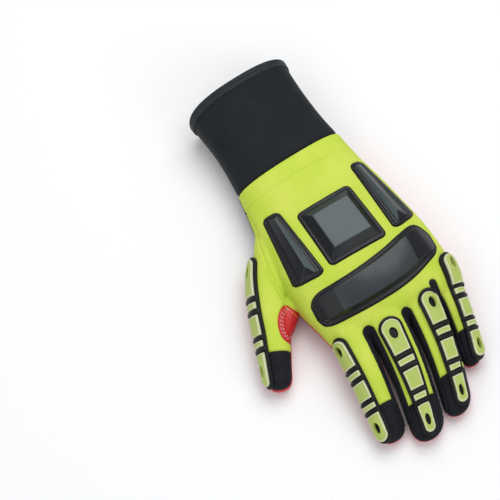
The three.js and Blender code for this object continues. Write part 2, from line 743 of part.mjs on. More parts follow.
// Guard and inserts along one digit, on its upper side
function guardParts(name, { from, sideRoot, sideTip, guardRoot, guardTip }) {
  const d = digits[name];
  const half = { root: (guardRoot * d.width) / 2, tip: (guardTip * d.width) / 2 };
  const line = guardLine(d, sideRoot, sideTip);
  const share = (length) => length / d.length;
  const aboveRim = (lift) => aboveDigit(guardLift + lift, name, guardWall + insertWall);
  const rim = hand(gap + guardWall);
  const plate = hand(gap + guardFloor);
  const seat = hand(2 * gap + guardFloor);
  const crown = hand(2 * gap + guardFloor + insertWall);
  // The ends are round, so the straight sides stop half of the width short of them
  const [first, last] = [from + share(half.root), guardEnd - share(half.tip)];
  const halfAt = (s) => half.root + ((half.tip - half.root) * (s - from)) / (guardEnd - from);
  const outline = band(line, halfAt, first, last, bandSteps, true, true);
  let guard = prism(outline).intersect(aboveRim(0)).intersect(rim).subtract(hand(gap));
  const parts = {};
  insertRows.forEach((row, k) => {
    const roundStart = k === 0;
    const roundEnd = k === insertRows.length - 1;
    const cell = (clear) => {
      const inner = (s) => halfAt(s) - rimWidth + clear;
      const start = first + row.from * (last - first) - (roundStart ? 0 : share(clear));
      const end = first + row.to * (last - first) + (roundEnd ? 0 : share(clear));
      const plan = band(line, inner, start, end, 1, roundStart, roundEnd);
      return prism(plan).intersect(aboveRim(rimWidth - clear));
    };
    guard = guard.subtract(cell(gap).subtract(plate));
    let insert = cell(0).intersect(crown).subtract(seat);
    if (row.hole) {
      const s = first + row.hole * (last - first);
      const side = sideRoot + (sideTip - sideRoot) * s;
      insert = insert.subtract(skinHole(d, s, side, (halfAt(s) - rimWidth) * 2 * insertHole.wide));
    }
    parts[name + "_insert_" + (k + 1)] = insert;
  });
  parts["guard_" + name] = guard;
  return parts;
}

// The line that a digit's guard follows, beside its own middle line; side is a share of half its
// width, at its root and at its tip
const guardLine = (d, sideRoot, sideTip) => (s) => {
  const angle = turnAt(d.line, s);
  const out = (d.width / 2) * (sideRoot + (sideTip - sideRoot) * s);
  const { x, y } = d.line(s);
  return { x: x + out * Math.cos(angle), y: y + out * Math.sin(angle) };
};

// The main body of a solid, without the slivers that a cut can leave beside it
const mainBody = (made) => made.decompose().reduce((a, b) => (b.volume() > a.volume() ? b : a));

function mesh(name, made, look) {
  const got = mainBody(made).getMesh();
  const geometry = new THREE.BufferGeometry();
  geometry.setAttribute("position", new THREE.BufferAttribute(got.vertProperties, 3));
  geometry.setIndex(new THREE.BufferAttribute(got.triVerts, 1));
  const piece = new THREE.Mesh(geometry, new THREE.MeshStandardMaterial(look));
  piece.name = name;
  return piece;
}

const glove = new THREE.Group();
const place = (parts, look) => {
  for (const [name, made] of Object.entries(parts)) glove.add(mesh(name, made, look(name)));
};

place(shellPanels(), (name) => {
  if (name.startsWith("side_strip") || name.startsWith("tip_")) return finish.black;
  return name.endsWith("_back") || name === "back_panel" ? finish.lime : finish.red;
});
place(cuffParts(), () => finish.black);
for (const p of pads) place({ [p.name]: pad(p).subtract(hand(gap)) }, () => finish.padding);
const guardLook = (name) => (name.startsWith("guard") ? finish.blackRubber : finish.limeRubber);
for (const f of fingers) place(guardParts(f.name, f), guardLook);
place(guardParts("thumb", thumbGuard), guardLook);

// The origin is under the middle of the whole glove, on the surface that it lies on
const box = new THREE.Box3().setFromObject(glove);
glove.position.set(-(box.min.x + box.max.x) / 2, -(box.min.y + box.max.y) / 2, -box.min.z);
const part = new THREE.Group();
part.add(glove);

export default part;
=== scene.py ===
# A padded work glove for the left hand, lying palm down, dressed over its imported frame.
# Tables and sizes are in millimetres or shares of a named size; meshes are in metres.
import math

import bmesh
import bpy
import numpy as np
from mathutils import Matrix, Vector, noise
from mathutils.bvhtree import BVHTree
from mathutils.kdtree import KDTree


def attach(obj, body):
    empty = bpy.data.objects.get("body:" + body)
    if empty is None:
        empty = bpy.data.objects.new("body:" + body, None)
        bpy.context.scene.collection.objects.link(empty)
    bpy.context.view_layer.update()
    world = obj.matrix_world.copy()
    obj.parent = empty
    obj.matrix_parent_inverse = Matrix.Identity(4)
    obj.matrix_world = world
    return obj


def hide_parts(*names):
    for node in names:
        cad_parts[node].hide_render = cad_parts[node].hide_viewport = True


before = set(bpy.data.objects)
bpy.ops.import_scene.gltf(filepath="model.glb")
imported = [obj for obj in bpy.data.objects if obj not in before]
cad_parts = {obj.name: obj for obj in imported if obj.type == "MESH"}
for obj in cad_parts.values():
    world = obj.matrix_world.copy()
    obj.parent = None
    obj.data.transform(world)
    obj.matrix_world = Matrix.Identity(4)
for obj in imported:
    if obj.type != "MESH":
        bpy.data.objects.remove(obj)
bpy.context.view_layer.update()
mm = 0.001
print("frame loaded,", len(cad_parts), "nodes")

# The glove lies with its wrist seam here, its fingers along +Y and its thumb on the +X side
wristSeam = {"x": -17.54, "y": -74.82, "turn": math.radians(4.3)}
hand = {"length": 146, "width": 108, "height": 46, "squareness": 2.5, "foot": 1.12}


# Camera, light and floor

cameraPlace = {"azimuth": 151.1, "elevation": 72.4, "distance": 2.5, "lens": 246, "aim": (0.0387, -0.038, 0)}


def addCamera():
    turn, rise = math.radians(cameraPlace["azimuth"]), math.radians(cameraPlace["elevation"])
    back = Vector((math.sin(turn) * math.cos(rise), -math.cos(turn) * math.cos(rise), math.sin(rise)))
    place = Vector(cameraPlace["aim"]) + back * cameraPlace["distance"]
    bpy.ops.object.camera_add(location=place, rotation=(-back).to_track_quat("-Z", "Y").to_euler())
    camera = bpy.context.object
    camera.data.lens = cameraPlace["lens"]
    camera.data.sensor_width = 36
    bpy.context.scene.camera = camera


studio = {
    "sky": 0.42,
    "lamps": [  # place, aim, size in metres, power in watts
        ((-0.3, -0.35, 1.15), (0, 0, 0), 1.0, 9.8),
        ((0.75, 0.3, 0.8), (0, 0, 0), 0.9, 2.2),
        ((-0.5, 0.9, 0.7), (0, 0, 0), 0.8, 2.0),
    ],
}


def addStudio():
    world = bpy.data.worlds.new("studioSky")
    bpy.context.scene.world = world
    world.use_nodes = True
    background = world.node_tree.nodes["Background"]
    background.inputs["Color"].default_value = (0.93, 0.96, 1, 1)
    background.inputs["Strength"].default_value = studio["sky"]
    for place, aim, size, power in studio["lamps"]:
        facing = (Vector(aim) - Vector(place)).to_track_quat("-Z", "Y").to_euler()
        bpy.ops.object.light_add(type="AREA", location=place, rotation=facing)
        lamp = bpy.context.object
        lamp.data.size = size
        lamp.data.energy = power
    bpy.ops.mesh.primitive_plane_add(size=6, location=(0, 0, -0.0002))
    floor = bpy.context.object
    floor.name = "floor"
    paper = bpy.data.materials.new("floorPaper")
    paper.use_nodes = True
    shader = paper.node_tree.nodes["Principled BSDF"]
    shader.inputs["Base Color"].default_value = (0.97, 0.97, 0.97, 1)
    shader.inputs["Roughness"].default_value = 0.9
    shader.inputs["Specular IOR Level"].default_value = 0.1
    floor.data.materials.append(paper)


# Shape of the hand, as the frame has it

def table(keys, rows):
    return dict(zip(keys.split(), np.array(rows, float).T))


handRows = table("along left right top mid sole", [
    (0.0, -0.372, 0.438, 0.89, 0.42, 0.0),
    (0.14, -0.413, 0.455, 0.915, 0.41, 0.0),
    (0.29, -0.473, 0.479, 0.955, 0.41, 0.0),
    (0.43, -0.519, 0.493, 0.985, 0.41, 0.0),
    (0.57, -0.557, 0.492, 1.0, 0.41, 0.0),
    (0.7, -0.582, 0.474, 1.0, 0.41, 0.0),
    (0.82, -0.592, 0.435, 0.92, 0.41, 0.02),
    (0.92, -0.582, 0.403, 0.76, 0.4, 0.08),
    (1.0, -0.545, 0.365, 0.46, 0.34, 0.2),
])
fingerRows = table("wide top sole seam", [
    (1.0, 1.6, 0.1, 0.41),
    (1.0, 1.55, 0.18, 0.41),
    (1.0, 1.44, 0.3, 0.4),
    (0.98, 1.34, 0.35, 0.38),
    (0.95, 1.2, 0.27, 0.33),
    (0.93, 1.0, 0.1, 0.25),
    (0.91, 0.83, -0.02, 0.19),
    (0.88, 0.74, -0.04, 0.16),
])
thumbRows = table("out up wide top sole seam", [
    (0.0, 0.0, 0.92, 1.24, 0.05, 0.41),
    (0.091, 0.14, 1.0, 1.22, 0.0, 0.31),
    (0.178, 0.281, 1.07, 1.16, -0.04, 0.24),
    (0.247, 0.433, 1.07, 1.08, -0.04, 0.23),
    (0.306, 0.588, 1.0, 1.02, -0.04, 0.23),
    (0.369, 0.743, 0.87, 0.94, -0.04, 0.22),
    (0.43, 0.896, 0.75, 0.84, -0.04, 0.2),
])
webRows = table("wide top sole seam", [(1.0, 1.1, 0.08, 0.3), (1.0, 0.9, 0.1, 0.24), (1.0, 0.92, 0.1, 0.23)])
dome = {"share": 0.45, "power": 0.8}  # a fingertip's length, as a share of the finger's width

# root and tip are where a finger's middle line runs, start where it begins; side and guard are
# the place and the half width of its guard, as shares of half its width, at its root and tip
fingers = {
    "index": {"root": 0.262, "tip": 0.33, "start": 0.767, "long": 103.96, "wide": 24.39, "high": 23.04,
              "cap": 0.745, "from": 0.2, "side": (1.04, 0.58), "guard": (0.52, 0.44)},
    "middle": {"root": 0.005, "tip": 0.112, "start": 0.767, "long": 115, "wide": 30, "high": 24,
               "cap": 0.765, "from": 0.225, "side": (0.06, 0.0), "guard": (0.57, 0.37)},
    "ring": {"root": -0.267, "tip": -0.133, "start": 0.767, "long": 109.02, "wide": 25.41, "high": 23.04,
             "cap": 0.74, "from": 0.185, "side": (-0.32, -0.22), "guard": (0.57, 0.42)},
    "little": {"root": -0.48, "tip": -0.388, "start": 0.671, "long": 96.02, "wide": 17.61, "high": 20.52,
               "cap": 0.74, "from": 0.17, "side": (-0.75, -0.42), "guard": (0.62, 0.52)},
}
thumb = {"root": (0.352, 0.2466), "long": 120, "wide": 24, "high": 25, "cap": 0.78, "tilt": 5,
         "from": 0.2, "side": (1.3, 0.8), "guard": (0.5, 0.45)}
web = {"root": (0.37, 0.566), "end": (0.62, 0.725), "wide": 14.6, "high": 25}
drift = 2.4  # how late along its length a finger bends sideways
slopeStep = 0.01


def between(rows, key, t):
    value = rows[key]
    t = np.asarray(t, float)
    i = np.clip(np.floor(t).astype(int), 0, len(value) - 2)
    f = t - i
    a, b, c, d = (value[np.clip(i + k, 0, len(value) - 1)] for k in (-1, 0, 1, 2))
    return b + 0.5 * f * (c - a + f * (2 * a - 5 * b + 4 * c - d + f * (3 * (b - c) + d - a)))


def easeStep(value):
    value = np.clip(value, 0, 1)
    return value * value * (3 - 2 * value)


def ringPoint(section, angle, offset=0.0):
    power = 2 / hand["squareness"]
    across, above = np.cos(angle), np.sin(angle)
    side = np.sign(across) * np.abs(across) ** power * (section["half"] + offset)
    deep = np.where(above > 0, section["up"], section["down"]) + offset
    height = section["z"] + np.sign(above) * np.abs(above) ** power * deep
    height = np.maximum(height, section.get("floor", -1e9) - offset)
    turn, lean = section["turn"], section.get("lean", 0) * (height - section["z"])
    x = section["x"] + side * np.cos(turn) + lean * np.sin(turn)
    y = section["y"] + side * np.sin(turn) - lean * np.cos(turn)
    return np.stack([x + wristSeam["x"], y + wristSeam["y"], height], axis=-1)


def middleOf(section):
    return np.stack([section["x"] + wristSeam["x"], section["y"] + wristSeam["y"], section["z"]], axis=-1)


def handSection(t):
    row = {key: between(handRows, key, t) for key in handRows}
    z, sole = row["mid"] * hand["height"], row["sole"] * hand["height"]
    return {
        "x": (row["left"] + row["right"]) / 2 * hand["width"], "y": row["along"] * hand["length"], "z": z,
        "half": (row["right"] - row["left"]) / 2 * hand["width"], "up": row["top"] * hand["height"] - z,
        "down": (z - sole) * hand["foot"], "floor": sole,
        "turn": wristSeam["turn"] * np.maximum(0, 1 - np.asarray(t) / 2),
    }


def fingerLine(f):
    def line(s):
        x = hand["width"] * (f["root"] + (f["tip"] - f["root"]) * np.maximum(s, 0) ** drift)
        return x, hand["length"] * f["start"] + f["long"] * s
    return line


def thumbLine(s):
    inside = np.clip(s, 0, 1)
    step = np.where(inside > 0.5, -slopeStep, slopeStep)
    last = len(thumbRows["out"]) - 1
    made = []
    for key, size, root in (("out", "width", 0), ("up", "length", 1)):
        here, there = (between(thumbRows, key, (inside + k * step) * last) for k in (0, 1))
        reached = here + (there - here) * (s - inside) / step
        made.append(hand[size] * thumb["root"][root] + thumb["long"] * reached)
    return made


def webLine(s):
    (x0, y0), (x1, y1) = web["root"], web["end"]
    return hand["width"] * (x0 + (x1 - x0) * s), hand["length"] * (y0 + (y1 - y0) * s)


def turnAt(line, s):
    (x0, y0), (x1, y1) = line(s - slopeStep), line(s + slopeStep)
    return np.arctan2(y1 - y0, x1 - x0) - math.pi / 2


digits = {name: {**f, "rows": fingerRows, "line": fingerLine(f), "turns": 0} for name, f in fingers.items()}
digits["thumb"] = {**thumb, "rows": thumbRows, "line": thumbLine, "turns": 1}
digits["web"] = {**web, "rows": webRows, "line": webLine, "turns": 1, "long": 38}


def digitSection(d, s, offset=0.0):
    # past its shoulder a finger closes in a dome
    domeLong = d["wide"] * dome["share"] + offset
    shoulder = 1 - d["wide"] * dome["share"] / d["long"] if d is not digits["web"] else 9
    sine = np.clip((s - shoulder) * d["long"] / domeLong, 0, 1)
    shrink = (1 - sine**2) ** (dome["power"] / 2)
    t = np.clip(s, 0, 1) * (len(d["rows"]["wide"]) - 1)
    wide, top, sole = (between(d["rows"], key, t) for key in ("wide", "top", "sole"))
    x, y = d["line"](s)
    deep = (top - sole) / 2 * d["high"]
    return {
        "x": x, "y": y, "z": (top + sole) / 2 * d["high"],
        "half": (wide * d["wide"] / 2 + offset) * shrink - offset,
        "up": (deep + offset) * shrink - offset, "down": (deep + offset) * shrink - offset,
        "turn": turnAt(d["line"], s) * d["turns"],
    }


# Tools for shaping

def deselect():
    bpy.ops.object.select_all(action="DESELECT")


def pick(piece):
    deselect()
    piece.select_set(True)
    bpy.context.view_layer.objects.active = piece


def placesOf(piece):
    place = np.empty(len(piece.data.vertices) * 3)
    piece.data.vertices.foreach_get("co", place)
    return place.reshape(-1, 3)


def movePlaces(piece, place):
    piece.data.vertices.foreach_set("co", np.ascontiguousarray(place, float).ravel())
    piece.data.update()


def normalsOf(piece):
    normal = np.empty(len(piece.data.vertices) * 3)
    piece.data.vertices.foreach_get("normal", normal)
    return normal.reshape(-1, 3)


def nearestIn(places):
    # a tree that finds which of some places is nearest, given in metres
    tree = KDTree(len(places))
    for k, place in enumerate(places):
        tree.insert(place, k)
    tree.balance()
    return tree


def applyModifier(piece, kind, **settings):
    pick(piece)
    modifier = piece.modifiers.new(kind.lower(), kind)
    for key, value in settings.items():
        setattr(modifier, key, value)
    bpy.ops.object.modifier_apply(modifier=modifier.name)


def faceOutwards(piece):
    pick(piece)
    bpy.ops.object.mode_set(mode="EDIT")
    bpy.ops.mesh.select_all(action="SELECT")
    bpy.ops.mesh.remove_doubles(threshold=1e-6)
    bpy.ops.mesh.normals_make_consistent(inside=False)
    bpy.ops.object.mode_set(mode="OBJECT")


def smoothShade(piece, degrees=50):
    pick(piece)
    bpy.ops.object.shade_smooth_by_angle(angle=math.radians(degrees))


# A closed ball of rings, to be drawn out into a tube: shape(along, angle) gives the places in mm
def drawnBall(name, sides, rings, shape):
    deselect()
    bpy.ops.mesh.primitive_uv_sphere_add(segments=sides, ring_count=rings, radius=1)
    piece = bpy.context.object
    piece.name = piece.data.name = name
    x, y, z = placesOf(piece).T
    movePlaces(piece, shape(np.arccos(np.clip(-z, -1, 1)) / math.pi, np.arctan2(y, x)) * mm)
    return piece


# A closed slab with its face in a grid: shape(u, v, top) gives the places in mm
def shapedSlab(name, columns, rows, shape):
    deselect()
    bpy.ops.mesh.primitive_grid_add(x_subdivisions=columns, y_subdivisions=rows, size=2)
    piece = bpy.context.object
    piece.name = piece.data.name = name
    bpy.ops.object.mode_set(mode="EDIT")
    bpy.ops.mesh.select_all(action="SELECT")
    bpy.ops.mesh.extrude_region_move(TRANSFORM_OT_translate={"value": (0, 0, 1)})
    bpy.ops.object.mode_set(mode="OBJECT")
    x, y, z = placesOf(piece).T
    movePlaces(piece, shape((x + 1) / 2, (y + 1) / 2, z > 0.5) * mm)
    faceOutwards(piece)
    smoothShade(piece)
    return piece


# A closed band round an axis: shape(around, across) gives the places in mm
def drawnRing(name, sides, minor, shape):
    deselect()
    bpy.ops.mesh.primitive_torus_add(
        major_segments=sides, minor_segments=minor, major_radius=1, minor_radius=0.25)
    piece = bpy.context.object
    piece.name = piece.data.name = name
    x, y, z = placesOf(piece).T
    across = np.arctan2(z, np.hypot(x, y) - 1)
    movePlaces(piece, shape(np.arctan2(y, x), across / (2 * math.pi) % 1) * mm)
    faceOutwards(piece)
    smoothShade(piece)
    return piece


def finishPiece(piece, material, slot, *nodes):
    piece.data.materials.clear()
    piece.data.materials.append(material)
    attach(piece, "root")
    if nodes:
        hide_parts(*nodes)
    return piece


# Finishes

def newMaterial(name, colour, roughness, **sockets):
    material = bpy.data.materials.new(name)
    material.use_nodes = True
    nodes, links = material.node_tree.nodes, material.node_tree.links
    shader = nodes["Principled BSDF"]
    shader.inputs["Base Color"].default_value = (*colour, 1)
    shader.inputs["Roughness"].default_value = roughness
    for key, value in sockets.items():
        shader.inputs[key.replace("_", " ")].default_value = value

    def add(kind, **values):
        node = nodes.new("ShaderNode" + kind)
        for key, value in values.items():
            if key in node.inputs:
                node.inputs[key].default_value = value
            else:
                setattr(node, key, value)
        return node

    def link(source, target, key):
        links.new(source, target.inputs[key])
        return target

    coordinates = add("TexCoord").outputs["Object"]
    return material, shader, add, link, coordinates


# Two colours, or shades, blended over a stretch of a value
def rampOf(add, link, value, one, other, stretch=(0.0, 1.0)):
    ramp = add("ValToRGB")
    for element, place, colour in zip(ramp.color_ramp.elements, stretch, (one, other)):
        element.position, element.color = place, (*colour, 1)
    link(value, ramp, "Fac")
    return ramp.outputs["Color"]


def rangeOf(add, link, value, way, low, high, **values):
    # way is "From" where a value's range is stated, and "To" where the result's is
    spread = add("MapRange", **values)
    spread.inputs[way + " Min"].default_value, spread.inputs[way + " Max"].default_value = low, high
    link(value, spread, "Value")
    return spread.outputs["Result"]


def textureOf(add, link, coordinates, kind, output, **values):
    texture = add(kind, **values)
    link(coordinates, texture, "Vector")
    return texture.outputs[output]


def product(add, link, one, other):
    both = add("Math", operation="MULTIPLY")
    link(one, both, 0)
    link(other, both, 1)
    return both.outputs["Value"]


def painted(add, link, colour, second, amount):
    # a second colour laid over the first by an amount
    mix = add("MixRGB", blend_type="MIX")
    link(colour, mix, "Color1")
    mix.inputs["Color2"].default_value = (*second, 1)
    link(amount, mix, "Fac")
    return mix.outputs["Color"]


# A colour that shifts softly from place to place
def cloudedColour(add, link, coordinates, one, other, scale):
    cloud = textureOf(add, link, coordinates, "TexNoise", "Fac", Scale=scale, Detail=3.0)
    return rampOf(add, link, cloud, one, other, (0.35, 0.65))


# Two crossed waves, as threads over and under
def crossedThreads(add, link, coordinates, spacing, angle=45):
    mapped = add("Mapping")
    mapped.inputs["Rotation"].default_value = (math.radians(20), math.radians(20), math.radians(angle))
    link(coordinates, mapped, "Vector")
    heights = []
    for direction in ("X", "Y"):
        wave = add("TexWave", Scale=0.314 / spacing, Distortion=0.6, Detail=1.0, bands_direction=direction)
        wave.inputs["Detail Scale"].default_value = 1.5
        link(mapped.outputs["Vector"], wave, "Vector")
        heights.append(wave.outputs["Fac"])
    return product(add, link, *heights)


def bumpOn(add, link, shader, height, distance, strength=1.0, under=None):
    bump = add("Bump", Strength=strength, Distance=distance)
    link(height, bump, "Height")
    if under:
        link(under, bump, "Normal")
    link(bump.outputs["Normal"], shader, "Normal")
    return bump.outputs["Normal"]


def limeFabric():
    material, shader, add, link, coordinates = newMaterial(
        "hiVisFabric", (0.5, 0.7, 0.04), 0.85, Sheen_Weight=0.08, Sheen_Roughness=0.5, Specular_IOR_Level=0.2)
    shader.inputs["Sheen Tint"].default_value = (0.95, 1, 0.5, 1)
    colour = cloudedColour(add, link, coordinates, (0.58, 0.73, 0.07), (0.68, 0.77, 0.115), 38)
    threads = crossedThreads(add, link, coordinates, 0.0011)
    shade = add("MixRGB", blend_type="MULTIPLY", Fac=0.35)
    link(colour, shade, "Color1")
    link(rampOf(add, link, threads, (0.72, 0.78, 0.6), (1, 1, 1)), shade, "Color2")
    link(shade.outputs["Color"], shader, "Base Color")
    bumpOn(add, link, shader, threads, 0.00025, 0.5)
    return material


# spacing is from thread to thread, and depth how far they stand out, in metres
def blackFabric(name, colour, other, spacing, roughness=0.8, sheen=0.03, depth=0.0002):
    material, shader, add, link, coordinates = newMaterial(
        name, colour, roughness, Sheen_Weight=sheen, Sheen_Roughness=0.4, Specular_IOR_Level=0.16)
    link(cloudedColour(add, link, coordinates, colour, other, 60), shader, "Base Color")
    bumpOn(add, link, shader, crossedThreads(add, link, coordinates, spacing, 0), depth, 0.6)
    return material


def redLeather():
    material, shader, add, link, coordinates = newMaterial(
        "palmLeather", (0.6, 0.02, 0.03), 0.42, Specular_IOR_Level=0.45)
    colour = cloudedColour(add, link, coordinates, (0.52, 0.010, 0.019), (0.60, 0.022, 0.03), 45)
    dots = textureOf(add, link, coordinates, "TexVoronoi", "Distance",
                     voronoi_dimensions="2D", Scale=300, Randomness=0.3)
    spots = rampOf(add, link, dots, (1, 1, 1), (0, 0, 0), (0.22, 0.34))
    patches = textureOf(add, link, coordinates, "TexNoise", "Fac", Scale=30, Detail=1.0)
    where = rangeOf(add, link, patches, "From", 0.38, 0.6)
    # printed on the flat of the palm, not round its sides
    facing, parts, flat = add("NewGeometry"), add("SeparateXYZ"), add("Math", operation="ABSOLUTE")
    link(facing.outputs["Normal"], parts, "Vector")
    link(parts.outputs["Z"], flat, 0)
    level = rangeOf(add, link, flat.outputs["Value"], "From", 0.6, 0.8)
    printed = product(add, link, spots, level)
    dark = painted(add, link, colour, (0.17, 0.003, 0.006), product(add, link, printed, where))
    link(dark, shader, "Base Color")
    grain = textureOf(add, link, coordinates, "TexVoronoi", "Distance",
                      Scale=1100, feature="DISTANCE_TO_EDGE")
    fine = bumpOn(add, link, shader, grain, 0.00012, 0.5)
    bumpOn(add, link, shader, printed, 0.00025, 0.5, fine)
    return material


def rubber(name, colour, other, roughness, specular=0.3, paintedLightAndColour=None):
    material, shader, add, link, coordinates = newMaterial(
        name, colour, roughness, Specular_IOR_Level=specular)
    base = cloudedColour(add, link, coordinates, colour, other, 55)
    if paintedLightAndColour:
        # a second colour laid over the first where the piece's own attribute says so: on the pads a grey that
        # is painted reflection and painted shade by facet, partly the rubber's own grey; on the inserts the
        # first colour is a painted highlight round the rim and the second their own green
        attribute, low, high, second = paintedLightAndColour
        part = add("Attribute", attribute_name=attribute).outputs["Fac"]
        where = rangeOf(add, link, part, "From", low, high, interpolation_type="SMOOTHSTEP")
        base = painted(add, link, base, second, where)
    link(base, shader, "Base Color")
    pores = textureOf(add, link, coordinates, "TexNoise", "Fac", Scale=1600, Detail=2.0)
    bumpOn(add, link, shader, pores, 0.00005, 0.6)
    wear = textureOf(add, link, coordinates, "TexNoise", "Fac", Scale=90, Detail=4.0)
    link(rangeOf(add, link, wear, "To", roughness - 0.08, roughness + 0.12), shader, "Roughness")
    return material


finishes = {
    "lime": limeFabric(),
    "red": redLeather(),
    "strip": blackFabric("sideFabric", (0.0085, 0.0095, 0.013), (0.013, 0.0145, 0.019), 0.0012),
    "cuff": blackFabric("cuffNeoprene", (0.011, 0.0135, 0.0155), (0.014, 0.0165, 0.0195),
                        0.0009, 0.7, 0.02, 0.00012),
    "binding": blackFabric("cuffTape", (0.02, 0.023, 0.026), (0.028, 0.032, 0.035), 0.0007, 0.6, 0.06),
    "webbing": blackFabric("tabWebbing", (0.011, 0.012, 0.013), (0.018, 0.019, 0.02),
                           0.0016, 0.65, 0.06, 0.0004),
    # the pads' black gets a grey by facet: a painted reflection on the tops and painted light and shade on
    # the bevels, lighter on the wrist side as if lit from there, partly the rubber's own grey
    "pad": rubber("padRubber", (0.0075, 0.0085, 0.0105), (0.01, 0.011, 0.0135), 0.26, specular=0.32,
                  paintedLightAndColour=("paintedLightAndGrey", 0.0, 1.0, (0.078, 0.103, 0.108))),
    "guard": rubber("guardRubber", (0.0055, 0.006, 0.0065), (0.008, 0.0085, 0.009), 0.46, specular=0.24),
    # the inserts' base colour is a paler, lighter green, a painted highlight round their bevelled rims; their
    # own deeper green fills the middle
    "insert": rubber("insertRubber", (0.61, 0.64, 0.38), (0.65, 0.67, 0.42), 0.5,
                     paintedLightAndColour=("inside", 0.55, 1.5, (0.44, 0.54, 0.125))),
    "whiteThread": rubber("whiteThread", (0.72, 0.52, 0.5), (0.8, 0.62, 0.6), 0.6),
    "limeThread": rubber("limeThread", (0.42, 0.55, 0.03), (0.5, 0.62, 0.06), 0.7),
    "greyThread": rubber("greyThread", (0.045, 0.05, 0.055), (0.07, 0.075, 0.08), 0.55),
}
print("finishes made")


# The sewn hand: one smooth skin, cut along its seams into panels

# The tubes are drawn thinner by "slim" and grown back later; the wrist end runs past its seam by "reach"
skinBuild = {"voxel": 1.05 * mm, "slim": 1.0, "smooth": 14, "panelWall": 1.5 * mm, "reach": 6,
             "lowest": 0.1 * mm}


def drawnIn(section, angle, close):
    # a ring of a tube, drawn in towards its middle where the tube closes
    middle = middleOf(section)
    return middle + (ringPoint(section, angle, -skinBuild["slim"]) - middle) * close[:, None]


def palmPlaces(along, angle):
    last = len(handRows["along"]) - 1
    section = handSection(np.clip((along - 0.08) / 0.84, 0, 1) * last)
    section["y"] = section["y"] - np.where(along < 0.09, skinBuild["reach"], 0)
    return drawnIn(section, angle, np.clip(np.minimum(along, 1 - along) / 0.04, 0, 1) ** 0.5)


def digitPlaces(d):
    def places(along, angle):
        straight = 0.8  # the share of the rings that run up to the shoulder
        shoulder = 1 - d["wide"] * dome["share"] / d["long"]
        turn = np.clip((along - straight) / (1 - straight), 0, 1) * math.pi / 2
        inner = (d["wide"] * dome["share"] - skinBuild["slim"]) / d["long"]
        s = np.where(along < straight, along / straight * shoulder, shoulder + inner * np.sin(turn))
        section = digitSection(d, s, -skinBuild["slim"])
        return ringPoint(section, angle, -skinBuild["slim"])
    return places


def webPlaces(along, angle):
    section = digitSection(digits["web"], np.clip((along - 0.1) / 0.8, 0, 1))
    return drawnIn(section, angle, np.clip(np.minimum(along, 1 - along) / 0.1, 0.02, 1) ** 0.5)


folds = {"broad": 0.45, "broadSize": 26, "fine": 0.22, "fineSize": (9, 14, 9), "fadeBelow": 8 * mm}


def softFolds(place, normal):
    # fabric swells between the seams and sags in soft folds; the underside stays on the table
    swell = np.empty(len(place))
    size, (wide, long, high) = folds["broadSize"], folds["fineSize"]
    for k, (x, y, z) in enumerate(place * 1000):
        swell[k] = folds["broad"] * noise.noise((x / size, y / size, z / size))
        swell[k] += folds["fine"] * noise.noise((x / wide, y / long, z / high + 40))
    above = np.clip(place[:, 2] / folds["fadeBelow"], 0, 1)
    return place + normal * (swell * above * mm)[:, None]


swelling = {"voxel": 3.6 * mm, "frames": 18, "pressure": 3.0, "stiff": 8, "mass": 0.2, "quality": 5,
            "cap": 0.9, "pinned": 3.2, "neighbours": 6, "soften": 0.6 * mm}


def swellFabric(piece):
    # a coarse copy is blown up as cloth, held at its seams; the fine skin then follows it
    deselect()
    coarse = piece.copy()
    coarse.data = piece.data.copy()
    bpy.context.collection.objects.link(coarse)
    applyModifier(coarse, "REMESH", mode="VOXEL", voxel_size=swelling["voxel"])
    start = placesOf(coarse)
    place = start / mm
    x, y = place[:, 0], place[:, 1]
    near = np.minimum(np.abs(aboveSeam(place)), np.abs(inThumb(place)))
    for line in palmLines(False):
        near = np.where(place[:, 2] < 14, np.minimum(near, toLine(x, y, line)), near)
    held = (near < swelling["pinned"]) | (place[:, 2] < 1) | (y < wristSeam["y"] + 3)
    pins = coarse.vertex_groups.new(name="seams")
    pins.add(np.flatnonzero(held).tolist(), 1.0, "REPLACE")
    cloth = coarse.modifiers.new("fabric", "CLOTH")
    cloth.settings.vertex_group_mass = "seams"
    cloth.settings.use_pressure = True
    cloth.settings.uniform_pressure_force = swelling["pressure"]
    cloth.settings.effector_weights.gravity = 0
    cloth.settings.tension_stiffness = cloth.settings.compression_stiffness = swelling["stiff"]
    cloth.settings.mass = swelling["mass"]
    cloth.settings.quality = swelling["quality"]
    cloth.point_cache.frame_end = swelling["frames"]
    scene = bpy.context.scene
    for frameNumber in range(1, swelling["frames"] + 1):
        scene.frame_set(frameNumber)
    blown = coarse.evaluated_get(bpy.context.evaluated_depsgraph_get())
    after = np.empty(len(start) * 3)
    blown.data.vertices.foreach_get("co", after)
    move = (after.reshape(-1, 3) - start) / mm
    far = np.maximum(np.linalg.norm(move, axis=1, keepdims=True), 1e-9)
    print("swelling: up to %.2f mm before the cap" % far.max())
    move *= np.tanh(far / swelling["cap"]) * swelling["cap"] / far
    scene.frame_set(1)
    bpy.data.objects.remove(coarse)
    tree = nearestIn(start)
    fine = placesOf(piece)
    follow = np.empty_like(fine)
    for k, spot in enumerate(fine):
        found = tree.find_n(spot, swelling["neighbours"])
        weight = np.array([1 / (distance + swelling["soften"]) ** 2 for _, _, distance in found])
        follow[k] = (move[[number for _, number, _ in found]] * weight[:, None]).sum(axis=0) / weight.sum()
    movePlaces(piece, fine + follow * mm)


